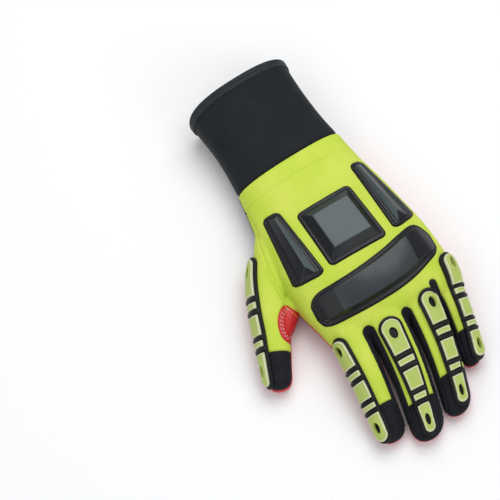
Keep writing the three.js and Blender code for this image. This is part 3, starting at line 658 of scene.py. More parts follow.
def sewnSkin():
    parts = [drawnBall("handSkin", 72, 90, palmPlaces)]
    for name, d in digits.items():
        parts.append(drawnBall(name + "Tube", 40, 90, webPlaces if name == "web" else digitPlaces(d)))
    deselect()
    for part in parts:
        part.select_set(True)
    bpy.context.view_layer.objects.active = parts[0]
    bpy.ops.object.join()
    skin = bpy.context.object
    applyModifier(skin, "REMESH", mode="VOXEL", voxel_size=skinBuild["voxel"])
    applyModifier(skin, "SMOOTH", factor=0.5, iterations=skinBuild["smooth"])
    movePlaces(skin, placesOf(skin) + normalsOf(skin) * skinBuild["slim"] * mm)
    swellFabric(skin)
    applyModifier(skin, "SMOOTH", factor=0.5, iterations=3)
    place = softFolds(placesOf(skin), normalsOf(skin))
    place[:, 2] = np.maximum(place[:, 2], skinBuild["lowest"])
    movePlaces(skin, place)
    # open at the wrist
    pick(skin)
    turn = wristSeam["turn"]
    bpy.ops.object.mode_set(mode="EDIT")
    bpy.ops.mesh.select_all(action="SELECT")
    x, y, _ = middleOf(handSection(0))
    seamPlace = (float(x) * mm, float(y) * mm, 0)
    bpy.ops.mesh.bisect(plane_co=seamPlace, plane_no=(math.sin(turn), -math.cos(turn), 0), clear_outer=True)
    bpy.ops.object.mode_set(mode="OBJECT")
    return skin


# Seams, as signed distances in mm; a place is inside where the value is above 0

handSpan, handLong = hand["width"], hand["length"]
webEnds = {"index": 0.965, "middle": 0.968, "ring": 0.905}
stripHalf = {"index": 4.2, "middle": 3.6, "ring": 2.9, "palm": 2.7}
stripStop = 6  # short of the shorter finger's tip
fingerNames = list(fingers)

# Outlines in plan, as shares of the hand's width and length
thumbPanel = [(0.46, -0.1), (0.45, 0.2), (0.488, 0.3), (0.518, 0.42), (0.53, 0.54), (0.522, 0.63),
              (0.476, 0.712), (0.52, 0.82), (0.6, 1.1)]
thumbPanelFar = [(1.2, 1.1), (1.2, -0.1)]
crotchPatch = [(0.44, 0.69), (0.48, 0.65), (0.53, 0.63), (0.59, 0.65), (0.641, 0.699), (0.661, 0.759),
               (0.644, 0.796), (0.6, 0.81), (0.5, 0.8)]


def planPoint(point):
    return point[0] * handSpan + wristSeam["x"], point[1] * handLong + wristSeam["y"]


def curveThrough(points, steps, closed=False):
    many = np.array(points, float)
    if closed:
        many = np.concatenate([many[-1:], many, many[:2]])
        t = np.arange(1, len(many) - 2, 1 / steps)
    else:
        t = np.append(np.arange(0, len(many) - 1, 1 / steps), len(many) - 1)
    return np.stack([between({"k": many[:, k]}, "k", t) for k in range(many.shape[1])], axis=-1)


def toLine(x, y, line):
    best = np.full(len(x), 1e9)
    for (x0, y0), (x1, y1) in zip(line[:-1], line[1:]):
        dx, dy = x1 - x0, y1 - y0
        share = np.clip(((x - x0) * dx + (y - y0) * dy) / max(dx * dx + dy * dy, 1e-12), 0, 1)
        best = np.minimum(best, np.hypot(x - x0 - share * dx, y - y0 - share * dy))
    return best


def toOutline(x, y, outline):
    # distance to a closed outline, above 0 inside it
    inside = np.zeros(len(x), bool)
    for (x0, y0), (x1, y1) in zip(outline, np.roll(outline, -1, axis=0)):
        if y0 != y1:
            inside ^= ((y0 > y) != (y1 > y)) & (x < (x1 - x0) * (y - y0) / (y1 - y0) + x0)
    best = toLine(x, y, np.concatenate([outline, outline[:1]]))
    return np.where(inside, best, -best)


# The leather ends along this line at the heel; black fabric takes over on the cuff's side of it
heelLine = [(-0.75, 0.0), (-0.45, 0.015), (-0.25, 0.04), (0.0, 0.06), (0.13, 0.085), (0.2, 0.13),
            (0.25, 0.2), (0.32, 0.27), (0.42, 0.325), (0.55, 0.365), (0.8, 0.4)]
heelFar = [(0.8, -0.2), (-0.75, -0.2)]

# Lines sewn into the palm, in the same shares; a pair has two rows
palmPairs = [
    [(-0.56, 0.62), (-0.1, 0.68), (0.38, 0.74)],
    [(-0.53, 0.48), (-0.1, 0.55), (0.36, 0.62)],
    [(-0.44, 0.34), (-0.1, 0.4), (0.3, 0.47)],
    [(-0.37, 0.22), (-0.1, 0.25), (0.27, 0.3)],
    [(-0.38, 0.6), (-0.17, 0.34), (0.05, 0.09)],
    [(0.33, 0.6), (0.27, 0.36), (0.22, 0.15)],
    [(0.33, 0.6), (0.43, 0.51), (0.52, 0.42)],
]
palmSingles = [
    [(-0.55, 0.6), (-0.47, 0.38), (-0.4, 0.2), (-0.34, 0.09), (-0.25, 0.06), (0.0, 0.08),
     (0.12, 0.105), (0.18, 0.15), (0.23, 0.22), (0.3, 0.29), (0.41, 0.345), (0.53, 0.385)],
    [(0.36, 0.9), (0.31, 0.8), (0.4, 0.68), (0.5, 0.6)],
]
fingerPairs = {"index": [0.3], "middle": [0.3, 0.62], "ring": [0.28, 0.62], "little": [0.3, 0.6]}
# "ring" has how far out the two rows lie that run round a crotch between fingers, and "legs" how far down
quilting = {"apart": 2.4, "groove": 0.8, "reach": 2.0, "ring": (1.6, 4.2), "legs": 9.0}


def planLine(points, steps=12, closed=False, far=()):
    return np.array([planPoint(p) for p in [*curveThrough(points, steps, closed), *far]])


thumbOutline = planLine(thumbPanel, 8, far=thumbPanelFar)
patchOutline = planLine(crotchPatch, 6, closed=True)
heelOutline = planLine(heelLine, 6, far=heelFar)


def thumbShare(x, y):
    # how far along the thumb a place lies, from its root to its tip, and how far beside its middle
    shares = np.linspace(-0.1, 1.2, 131)
    x, y = x - wristSeam["x"], y - wristSeam["y"]
    lineX, lineY = thumbLine(shares)
    nearest = shares[np.argmin((x[:, None] - lineX) ** 2 + (y[:, None] - lineY) ** 2, axis=1)]
    turn = turnAt(thumbLine, nearest)
    backX, backY = thumbLine(nearest)
    ahead = (y - backY) * np.cos(turn) - (x - backX) * np.sin(turn)
    side = (x - backX) * np.cos(turn) + (y - backY) * np.sin(turn)
    return nearest + ahead / thumb["long"], side


def fingerShare(name, y):
    return (y - wristSeam["y"] - handLong * fingers[name]["start"]) / fingers[name]["long"]


def nextTo(name):
    return fingerNames[fingerNames.index(name) + 1]


def stripX(name, y):
    # halfway between two neighbouring fingers
    edges = []
    for key, way in ((name, -1), (nextTo(name), 1)):
        x, _ = fingerLine(fingers[key])(fingerShare(key, y))
        edges.append(x + way * fingers[key]["wide"] / 2)
    return (edges[0] + edges[1]) / 2 + wristSeam["x"]


def fingerAt(x, y):
    # index of the finger beside which a place lies
    return sum((x < stripX(name, y)).astype(int) for name in fingerNames[:3])


def seamHeight(x, y):
    along = (y - wristSeam["y"]) / handLong
    t = np.interp(along, handRows["along"], np.arange(len(handRows["along"])))
    height = between(handRows, "mid", t) * hand["height"]
    nearest = fingerAt(x, y)
    onFinger = np.clip((y - wristSeam["y"] - 118) / 16, 0, 1)
    fingerSeam = np.zeros(len(x))
    for k, name in enumerate(fingerNames):
        share = np.clip(fingerShare(name, y), 0, 1)
        seam = between(fingerRows, "seam", share * (len(fingerRows["seam"]) - 1)) * hand["height"]
        fingerSeam = np.where(nearest == k, seam, fingerSeam)
    height = height + (fingerSeam - height) * onFinger
    share, side = thumbShare(x, y)
    onThumb = between(thumbRows, "seam", np.clip(share, 0, 1) * (len(thumbRows["seam"]) - 1)) * hand["height"]
    onThumb = onThumb + thumb["tilt"] * np.clip(0.5 - side / thumb["wide"], 0, 1)
    return height + (onThumb - height) * easeStep(0.5 + toOutline(x, y, thumbOutline) / 8)


def aboveSeam(place):
    x, y, z = place.T
    return z - seamHeight(x, y)


def inThumb(place):
    return toOutline(place[:, 0], place[:, 1], thumbOutline)


def inPatch(place):
    return toOutline(place[:, 0], place[:, 1], patchOutline)


def inHeel(place):
    return toOutline(place[:, 0], place[:, 1], heelOutline)


def inStrip(name):
    stop = min(handLong * fingers[k]["start"] + fingers[k]["long"] for k in (name, nextTo(name))) - stripStop

    def distance(place):
        x, y, _ = place.T
        start = wristSeam["y"] + webEnds[name] * handLong
        blend = np.clip(aboveSeam(place) / 4 + 0.25, 0, 1)
        half = stripHalf["palm"] + (stripHalf[name] - stripHalf["palm"]) * blend
        back = np.minimum(y - start, 0)
        rounded = half - np.hypot(x - stripX(name, np.maximum(y, start)), back)
        return np.minimum(rounded, wristSeam["y"] + stop - y)
    return distance


def inCap(place):
    x, y, _ = place.T
    nearest = fingerAt(x, y)
    past = np.zeros(len(x))
    for k, name in enumerate(fingerNames):
        f = fingers[name]
        past = np.where(nearest == k, (fingerShare(name, y) - f["cap"]) * f["long"], past)
    return past


def inThumbCap(place):
    share, _ = thumbShare(place[:, 0], place[:, 1])
    return (share - thumb["cap"]) * thumb["long"]


def palmLines(rows):
    # every line sewn into the palm, in plan: both rows of a pair, or the line between them
    lines = []

    def pair(line):
        half = quilting["apart"] / 2
        return [shiftLine(line, half), shiftLine(line, -half)] if rows else [line]

    for points in palmPairs:
        lines += pair(planLine(points))
    lines += [planLine(points, 8) for points in palmSingles]
    for name, shares in fingerPairs.items():
        f = fingers[name]
        for share in shares:
            x, y = fingerLine(f)(share)
            reach = f["wide"] / 2 - 2.5
            across = np.linspace(-reach, reach, 16)
            x, y = x + wristSeam["x"] + across, y + wristSeam["y"] + across * 0.12
            lines += pair(np.stack([x, y], axis=-1))
    legs = quilting["legs"]
    long = np.array([legs, legs * 2 / 3, legs / 3, 0.0])
    angle = np.linspace(0, -math.pi, 20)
    for name in fingerNames[:3]:
        start = wristSeam["y"] + webEnds[name] * handLong
        side = stripX(name, start + long)
        for ring in quilting["ring"]:
            wide = stripHalf["palm"] + ring
            narrow = wide * (1 - 0.25 * (long / legs) ** 2)
            left = np.stack([side + narrow, start + long], axis=-1)
            right = np.stack([side - narrow, start + long], axis=-1)[::-1]
            end = np.stack([side[-1] + wide * np.cos(angle), start + wide * np.sin(angle)], axis=-1)
            lines.append(np.concatenate([left, end[1:-1], right]))
    return lines


def shiftLine(line, distance):
    way = np.gradient(line, axis=0)
    way /= np.linalg.norm(way, axis=1, keepdims=True)
    return line + np.stack([-way[:, 1], way[:, 0]], axis=-1) * distance


def quiltPalm():
    # draws the sewn lines into the leather, on the palm side alone
    place, normal = placesOf(skin) / mm, normalsOf(skin)
    facing = np.clip(-normal[:, 2] * 1.6 - 0.2, 0, 1)
    under = np.flatnonzero(facing > 0)
    near = np.full(len(place), 1e9)
    for line in palmLines(True):
        near[under] = np.minimum(near[under], toLine(place[under, 0], place[under, 1], line))
    depth = quilting["groove"] * np.exp(-((near / quilting["reach"] * 1.6) ** 2)) * facing
    movePlaces(skin, (place - normal * depth[:, None]) * mm)


def cutAlong(mesh, distance, only=None):
    # adds edges where distance is 0, so that a panel's border is a smooth line
    mesh.verts.ensure_lookup_table()
    place = np.array([v.co for v in mesh.verts]) * 1000
    value = distance(place)
    allowed = np.ones(len(place), bool) if only is None else only(place)
    moved = set()
    splits = []
    for edge in mesh.edges:
        a, b = edge.verts[0].index, edge.verts[1].index
        if value[a] * value[b] >= 0 or abs(value[a] - value[b]) > 4 or not (allowed[a] and allowed[b]):
            continue
        share = value[a] / (value[a] - value[b])
        near, far, short = (a, b, share) if share < 0.5 else (b, a, 1 - share)
        if short < 0.25 and near not in moved:
            mesh.verts[near].co = mesh.verts[near].co.lerp(mesh.verts[far].co, short)
            moved.add(near)
            value[near] = 0
        elif short >= 0.25:
            splits.append((edge, a, b))
    onLine = [mesh.verts[k] for k in moved]
    for edge, a, b in splits:
        if value[a] * value[b] < 0:
            share = value[a] / (value[a] - value[b])
            start = edge.verts[0] if edge.verts[0].index == a else edge.verts[1]
            onLine.append(bmesh.utils.edge_split(edge, start, share)[1])
    bmesh.ops.connect_verts(mesh, verts=onLine)
    mesh.verts.index_update()


panels = {  # name: (finish, slot, node), in the order in which a face looks for its panel
    "stripIndexMiddle": ("strip", "black_fabric", "side_strip_index_middle"),
    "stripMiddleRing": ("strip", "black_fabric", "side_strip_middle_ring"),
    "stripRingLittle": ("strip", "black_fabric", "side_strip_ring_little"),
    "thumbPatch": ("red", "palm_leather", "thumb_web_patch"),
    "thumbTip": ("strip", "black_fabric", "tip_thumb"),
    "thumbBack": ("lime", "hi_vis_fabric", "thumb_back"),
    "thumbFront": ("red", "palm_leather", "thumb_front"),
    "indexTip": ("strip", "black_fabric", "tip_index"),
    "middleTip": ("strip", "black_fabric", "tip_middle"),
    "ringTip": ("strip", "black_fabric", "tip_ring"),
    "littleTip": ("strip", "black_fabric", "tip_little"),
    "heelFabric": ("strip", "black_fabric", None),
    "handBack": ("lime", "hi_vis_fabric", "back_panel"),
    "handPalm": ("red", "palm_leather", "palm_panel"),
}


def panelOf(place):
    x, y, _ = place.T
    above, thumbSide = aboveSeam(place) > 0, inThumb(place) > 0
    chosen = np.full(len(place), len(panels) - 1)
    number = {name: k for k, name in enumerate(panels)}
    fingerward = y > wristSeam["y"] + 0.85 * handLong
    chosen[above & ~thumbSide] = number["handBack"]
    capped = above & ~thumbSide & fingerward & (inCap(place) > 0)
    nearest = fingerAt(x, y)
    for k, name in enumerate(fingerNames):
        chosen[capped & (nearest == k)] = number[name + "Tip"]
    chosen[thumbSide & ~above] = number["thumbFront"]
    chosen[~above & (inHeel(place) > 0)] = number["heelFabric"]
    chosen[thumbSide & above] = number["thumbBack"]
    chosen[thumbSide & above & (inThumbCap(place) > 0)] = number["thumbTip"]
    chosen[thumbSide & above & (inPatch(place) > 0)] = number["thumbPatch"]
    for name, panel in zip(fingerNames, ("stripIndexMiddle", "stripMiddleRing", "stripRingLittle")):
        chosen[(inStrip(name)(place) > 0) & ~thumbSide] = number[panel]
    return chosen


seams = {"groove": 0.95, "reach": 1.9, "fingers": 0.8, "clearOfThumb": 40}


def cutSeams(mesh):
    def overFingers(place):
        return place[:, 1] > wristSeam["y"] + seams["fingers"] * handLong

    cutAlong(mesh, inThumb)
    cutAlong(mesh, aboveSeam)
    for name in fingerNames[:3]:
        cutAlong(mesh, inStrip(name), lambda p: overFingers(p) & (p[:, 0] < seams["clearOfThumb"]))
    cutAlong(mesh, inCap, lambda p: overFingers(p) & (inThumb(p) < 0) & (aboveSeam(p) > -1))
    cutAlong(mesh, inThumbCap, lambda p: (inThumb(p) > 0) & (aboveSeam(p) > -1))
    cutAlong(mesh, inHeel, lambda p: aboveSeam(p) < 1)
    cutAlong(mesh, inPatch, lambda p: (inThumb(p) > -1) & (aboveSeam(p) > -1))


def sinkSeams(mesh):
    # the skin is drawn in beside every panel's border
    border = [e for e in mesh.edges if e.is_boundary or len({f.material_index for f in e.link_faces}) > 1]
    ends = [(edge.verts[0].co, edge.verts[1].co) for edge in border]
    tree = nearestIn([a.lerp(b, share) for a, b in ends for share in (0, 0.5, 1)])
    mesh.normal_update()
    pushed = []
    for v in mesh.verts:
        far = tree.find(v.co)[2] * 1000
        if far < seams["reach"]:
            round_ = 1 - math.sqrt(1 - (1 - far / seams["reach"]) ** 2)
            pushed.append((v, v.co - v.normal * seams["groove"] * round_ * mm))
    for v, place in pushed:
        v.co = place
        v.co.z = max(v.co.z, skinBuild["lowest"])


def cutPanels():
    mesh = bmesh.new()
    mesh.from_mesh(skin.data)
    cutSeams(mesh)
    chosen = panelOf(np.array([f.calc_center_median() for f in mesh.faces]) * 1000)
    for face, number in zip(mesh.faces, chosen):
        face.material_index = int(number)
        face.smooth = True
    sinkSeams(mesh)
    mesh.to_mesh(skin.data)
    sewn = BVHTree.FromBMesh(mesh)
    mesh.free()
    for name in panels:
        skin.data.materials.append(bpy.data.materials.new(name))
    pick(skin)
    bpy.ops.object.mode_set(mode="EDIT")
    bpy.ops.mesh.select_all(action="SELECT")
    bpy.ops.mesh.separate(type="MATERIAL")
    bpy.ops.object.mode_set(mode="OBJECT")
    pieces = {}
    for piece in list(bpy.context.selected_objects) + [skin]:
        if len(piece.data.polygons):
            name = piece.material_slots[piece.data.polygons[0].material_index].material.name
            pieces[name] = piece
    for name, piece in pieces.items():
        finish, slot, node = panels[name]
        piece.name = piece.data.name = name
        for face in piece.data.polygons:
            face.material_index = 0
        applyModifier(piece, "SOLIDIFY", thickness=skinBuild["panelWall"], offset=-1)
        smoothShade(piece)
        finishPiece(piece, finishes[finish], slot, *([node] if node else []))
    return pieces, sewn


def treeOf(piece):
    mesh = bmesh.new()
    mesh.from_mesh(piece.data)
    tree = BVHTree.FromBMesh(mesh)
    mesh.free()
    return tree


skin = sewnSkin()
print("skin", len(skin.data.polygons), "faces")
# pads and guards lie over the plain skin, and stitches over the skin with its seams and quilting sunk in
skinAround = treeOf(skin)
quiltPalm()
panelPieces, sewnAround = cutPanels()
print("panels cut:", {name: len(piece.data.polygons) for name, piece in panelPieces.items()})


# Places on the skin, in mm

def castOn(tree, origin, direction):
    place, normal = np.empty((len(origin), 3)), np.empty((len(origin), 3))
    for k, (start, way) in enumerate(zip(origin, direction)):
        hit, out, _, _ = tree.ray_cast(Vector(start * mm), Vector(way))
        place[k] = np.array(hit) / mm if hit else np.nan
        way = Vector(way)
        normal[k] = (out if out.dot(way) > 0 else -out) if hit else way.normalized()
    return place, normal


def onBack(x, y, spread=1.6):
    # the mean over a small ring of places, so that a moulded piece doesn't show the fabric's grain
    height, normal = np.zeros(len(x)), np.zeros((len(x), 3))
    ring = [(spread * math.cos(k * math.pi / 3), spread * math.sin(k * math.pi / 3)) for k in range(6)]
    ring.append((0, 0))
    for dx, dy in ring:
        start = np.stack([x + dx, y + dy, np.full(len(x), 90.0)], axis=-1)
        place, out = castOn(skinAround, start, np.tile([0.0, 0.0, -1.0], (len(x), 1)))
        height += place[:, 2] / len(ring)
        normal -= out
    return np.stack([x, y, height], axis=-1), normal / np.linalg.norm(normal, axis=1, keepdims=True)


def smoothGrid(values, times):
    for _ in range(times):
        wide = np.pad(values, ((1, 1), (1, 1), (0, 0)), mode="edge")
        sides = wide[:-2, 1:-1], wide[2:, 1:-1], wide[1:-1, :-2], wide[1:-1, 2:]
        values = (wide[1:-1, 1:-1] * 2 + sides[0] + sides[1] + sides[2] + sides[3]) / 6
    return values / np.linalg.norm(values, axis=-1, keepdims=True)


# A closed slab over a grid of places: low and high are its under and upper side, in mm
def slabOver(name, low, high):
    columns, rows = low.shape[0] - 1, low.shape[1] - 1

    def shape(u, v, top):
        i, j = np.rint(u * columns).astype(int), np.rint(v * rows).astype(int)
        return np.where(top[:, None], high[i, j], low[i, j])
    return shapedSlab(name, columns, rows, shape)


# Keeps a value for each vertex of a piece, from the nearest of some places, for its material
def markPlaces(piece, name, places, values):
    tree = nearestIn(places * mm)
    mark = piece.data.attributes.new(name, "FLOAT", "POINT")
    mark.data.foreach_set("value", [values[tree.find(v.co)[1]] for v in piece.data.vertices])


def roundedEdge(inside, radius):
    # how far an edge is let down, at a distance in from it
    return radius - np.sqrt(np.maximum(radius**2 - np.maximum(radius - inside, 0) ** 2, 0))


def stretched(c, t):
    # turns the corner of a square into a quarter circle, ring by ring
    far = np.maximum(np.abs(c), np.abs(t))
    share = far / np.maximum(np.hypot(c, t), 1e-9)
    return c * share, t * share


# Impact pads: a flange, sewn on all round, and a moulded crown with bevelled sides

# As shares of the pad: "crease" is half the width of the close grid lines at a slope's top, "ridge" and
# "foot" round the slopes at their top and their foot
padBuild = {"gap": 0.3, "flange": 1.6, "flangeWidth": 2.6, "edge": 0.7, "corner": 3.4, "crease": 0.045,
            "ridge": 0.07, "foot": 0.12, "crown": 0.4, "stitchIn": 1.3, "trough": 0.25, "troughWidth": 0.35,
            "piping": 1.1, "pipingOut": 0.25}
# each pad lists a share of grey for its top and each bevel: painted reflection on the top and painted shade
# on the bevels, lighter towards the wrist as if lit from there, partly the rubber's own grey
pads = {  # edges pairs a wrist-side point with a finger-side one, in shares of the hand's width and length
    "knuckleBar": {
        "node": "knuckle_bar", "height": 5.5, "slope": (0.16, 0.17, 0.27, 0.29), "crown": 0.5,
        "paintedLightAndGrey": {"top": 0.38, "wrist": 0.3, "finger": 0.02, "little": 0.03, "thumb": 0.02},
        "edges": [(-0.528, 0.672, -0.528, 0.742), (-0.49, 0.62, -0.505, 0.77), (-0.44, 0.603, -0.454, 0.793),
                  (-0.324, 0.625, -0.31, 0.834), (-0.2, 0.651, -0.17, 0.856), (-0.055, 0.671, -0.02, 0.864),
                  (0.085, 0.683, 0.11, 0.865), (0.215, 0.687, 0.222, 0.861), (0.325, 0.688, 0.32, 0.853),
                  (0.38, 0.702, 0.38, 0.832), (0.405, 0.727, 0.405, 0.788)],
    },
    "centrePad": {
        "node": "centre_pad", "height": 6.0, "slope": (0.17, 0.2, 0.15, 0.18), "crown": 0.35,
        "paintedLightAndGrey": {"top": 0.7, "wrist": 0.4, "finger": 0.15, "little": 0.05, "thumb": 0.05},
        "edges": [(-0.211, 0.273, -0.263, 0.593), (0.193, 0.29, 0.164, 0.603)],
    },
    "littleSidePad": {
        "node": "little_side_pad", "height": 5.5, "slope": (0.1, 0.16, 0.52, 0.46), "crown": 0.0,
        "paintedLightAndGrey": {"top": 0.3, "wrist": 0.2, "finger": 0.1, "little": 0.06, "thumb": 1.0},
        "edges": [(-0.388, 0.174, -0.52, 0.548), (-0.3, 0.178, -0.338, 0.584)],
    },
    "thumbSidePad": {
        "node": "thumb_side_pad", "height": 5.5, "slope": (0.1, 0.16, 0.46, 0.52), "crown": 0.0,
        "paintedLightAndGrey": {"top": 0.3, "wrist": 0.2, "finger": 0.06, "little": 1.0, "thumb": 0.06},
        "edges": [(0.29, 0.223, 0.224, 0.616), (0.397, 0.216, 0.439, 0.6)],
    },
}


def padPlan(pad, u, v):
    # place in plan at shares across and along a pad, its corners rounded
    edges = np.array(pad["edges"])
    if len(edges) == 2:
        first, last = edges
        wide = np.hypot(*((last - first)[:2] * (handSpan, handLong)))
        long = np.hypot(*((first[2:] - first[:2]) * (handSpan, handLong)))
        corner = padBuild["corner"]
        du, dv = np.minimum(u, 1 - u) * wide, np.minimum(v, 1 - v) * long
        inCorner = (du < corner) & (dv < corner)
        c, t = stretched(1 - du / corner, 1 - dv / corner)
        u = np.where(inCorner, np.where(u < 0.5, corner * (1 - c) / wide, 1 - corner * (1 - c) / wide), u)
        v = np.where(inCorner, np.where(v < 0.5, corner * (1 - t) / long, 1 - corner * (1 - t) / long), v)
        spot = first + (last - first) * u[:, None]
    else:
        spot = np.stack([between({"k": edges[:, k]}, "k", u * (len(edges) - 1)) for k in range(4)], axis=-1)
    spot = spot * (handSpan, handLong, handSpan, handLong)
    spot = spot[:, :2] + (spot[:, 2:] - spot[:, :2]) * v[:, None]
    return spot[:, 0] + wristSeam["x"], spot[:, 1] + wristSeam["y"]


def padLines(length, slopes):
    # where the grid's lines lie over a pad: close together at its edge, its flange and its creases
    flange = padBuild["flangeWidth"]
    near = [0, 0.08, 0.25, 0.5, 0.9, 1.4, 2.0, flange - 0.25, flange, flange + 0.25, flange + 0.6]
    lines = {*(d / length for d in near), *(1 - d / length for d in near)}
    for place in (slopes[0], 1 - slopes[1]):
        lines |= {place + k * padBuild["crease"] / 3 for k in range(-3, 4)}
    lines |= set(np.linspace(0, 1, 46))
    ordered = sorted(k for k in lines if 0 <= k <= 1)
    return np.array([k for n, k in enumerate(ordered) if n == 0 or k - ordered[n - 1] > 0.06 / length])


def softLeast(values, width):
    # the least of several ramps, with the creases between them rounded
    least = values[0]
    for other in values[1:]:
        blend = np.clip(0.5 + (other - least) / (2 * width), 0, 1)
        least = other + (least - other) * blend - width * blend * (1 - blend)
    return least


def padSize(pad):
    # width, length, and the length at each of the pad's edge points
    edges = np.array(pad["edges"]) * (handSpan, handLong, handSpan, handLong)
    lengths = np.hypot(*(edges[:, 2:] - edges[:, :2]).T)
    return np.hypot(*(edges[-1] - edges[0])[:2]), np.median(lengths), lengths


def makePad(name, pad):
    wide, long, lengths = padSize(pad)
    wrist, finger, little, thumbSide = pad["slope"]
    columns, rows = padLines(wide, (little, thumbSide)), padLines(long, (wrist, finger))
    u, v = (k.ravel() for k in np.meshgrid(columns, rows, indexing="ij"))
    x, y = padPlan(pad, u, v)
    ground, _ = onBack(x, y)
    # a length of its own at every place across: the knuckle bar's ends are short
    longHere = np.interp(u, np.linspace(0, 1, len(lengths)), lengths)
    flangeU = padBuild["flangeWidth"] / wide
    flangeV = np.minimum(padBuild["flangeWidth"] / longHere, 0.3)
    ramps = [(v - flangeV) / (wrist - flangeV), (1 - flangeV - v) / (finger - flangeV),
             (u - flangeU) / (little - flangeU), (1 - flangeU - u) / (thumbSide - flangeU)]
    rise = softLeast([np.ones(len(u)), *ramps], padBuild["ridge"])
    foot = padBuild["foot"]
    share = np.where(rise < foot, np.maximum(rise + foot, 0) ** 2 / (4 * foot), rise)
    inside = np.minimum(np.minimum(u, 1 - u) * wide, np.minimum(v, 1 - v) * longHere)
    crown = pad["crown"] * np.sin(math.pi * np.clip(u, 0, 1)) * np.clip(rise, 0, 1) ** 2
    lift = padBuild["gap"] + padBuild["flange"] - roundedEdge(inside, padBuild["edge"])
    lift += (pad["height"] - padBuild["flange"]) * np.clip(share, 0, 1) + crown * padBuild["crown"]
    trough = padBuild["trough"] * np.exp(-(((inside - padBuild["stitchIn"]) / padBuild["troughWidth"]) ** 2))
    shape = (len(columns), len(rows), 3)
    low = (ground + (0, 0, padBuild["gap"])).reshape(shape)
    up = np.stack([np.zeros(len(u)), np.zeros(len(u)), lift - trough], axis=-1)
    high = (ground + up).reshape(shape)
    piece = slabOver(name, low, high)
    # the painted reflection and painted shade that each facet gets, as listed for the pad, partly the
    # rubber's own grey; it fades out towards the flange
    least = np.minimum.reduce(ramps)
    facet = np.argmin(np.stack(ramps), axis=0)
    paintedLightAndColour = np.array([pad["paintedLightAndGrey"][side] for side in ("wrist", "finger", "little", "thumb")])[facet]
    paintedLightAndColour = np.where(least >= 0.995, pad["paintedLightAndGrey"]["top"], paintedLightAndColour) * np.clip(least / foot, 0, 1)
    markPlaces(piece, "paintedLightAndGrey", high.reshape(-1, 3), paintedLightAndColour)
    return finishPiece(piece, finishes["pad"], "pad_rubber", pad["node"])


def padRound(pad, inward, out, height):
    # a line round a pad's flange, in from its edge and then out from there, at a height over the skin
    wide, long, _ = padSize(pad)
    t = np.linspace(0, 1, 160)
    nearU, nearV = inward / wide, inward / long
    first, last = np.full(160, nearU), np.full(160, 1 - nearU)
    low, high = np.full(160, nearV), np.full(160, 1 - nearV)
    alongU, alongV = nearU + t * (1 - 2 * nearU), nearV + t * (1 - 2 * nearV)
    u = np.concatenate([alongU, last, 1 - alongU, first])
    v = np.concatenate([low, alongV, high, 1 - alongV])
    line = np.stack(padPlan(pad, u, v), axis=-1)
    ground, normal = onBack(*shiftLine(line, -out).T) if out else onBack(*line.T)
    return ground + (0, 0, height), normal


padPieces = [makePad(name, pad) for name, pad in pads.items()]
print("pads:", sum(len(piece.data.polygons) for piece in padPieces), "faces")


# Finger guards: a black rail with cross bars, and five raised inserts in it

guardBuild = {"gap": 0.3, "rim": 2.4, "floor": 1.1, "rimWidth": 2.2, "lift": 2.0, "edge": 0.8,
              "bar": 1.5, "barSlope": 1.3, "barEnd": 1.7,
              "insert": 2.4, "insertEdge": 0.7, "dish": 0.45, "dishIn": 1.2, "dishSlope": 0.7,
              "lip": 0.1, "lipWidth": 0.9}
guardEnds = {"index": 0.965, "middle": 0.976, "ring": 0.96, "little": 0.968, "thumb": 0.965}
insertRows = [
    {"from": 0.0, "to": 0.267, "hole": 0.06}, {"from": 0.323, "to": 0.382}, {"from": 0.438, "to": 0.627},
    {"from": 0.678, "to": 0.732}, {"from": 0.788, "to": 1.0, "hole": 0.94},
]
insertHole = {"wide": 0.52, "long": 8.6}
fanSteps = 33


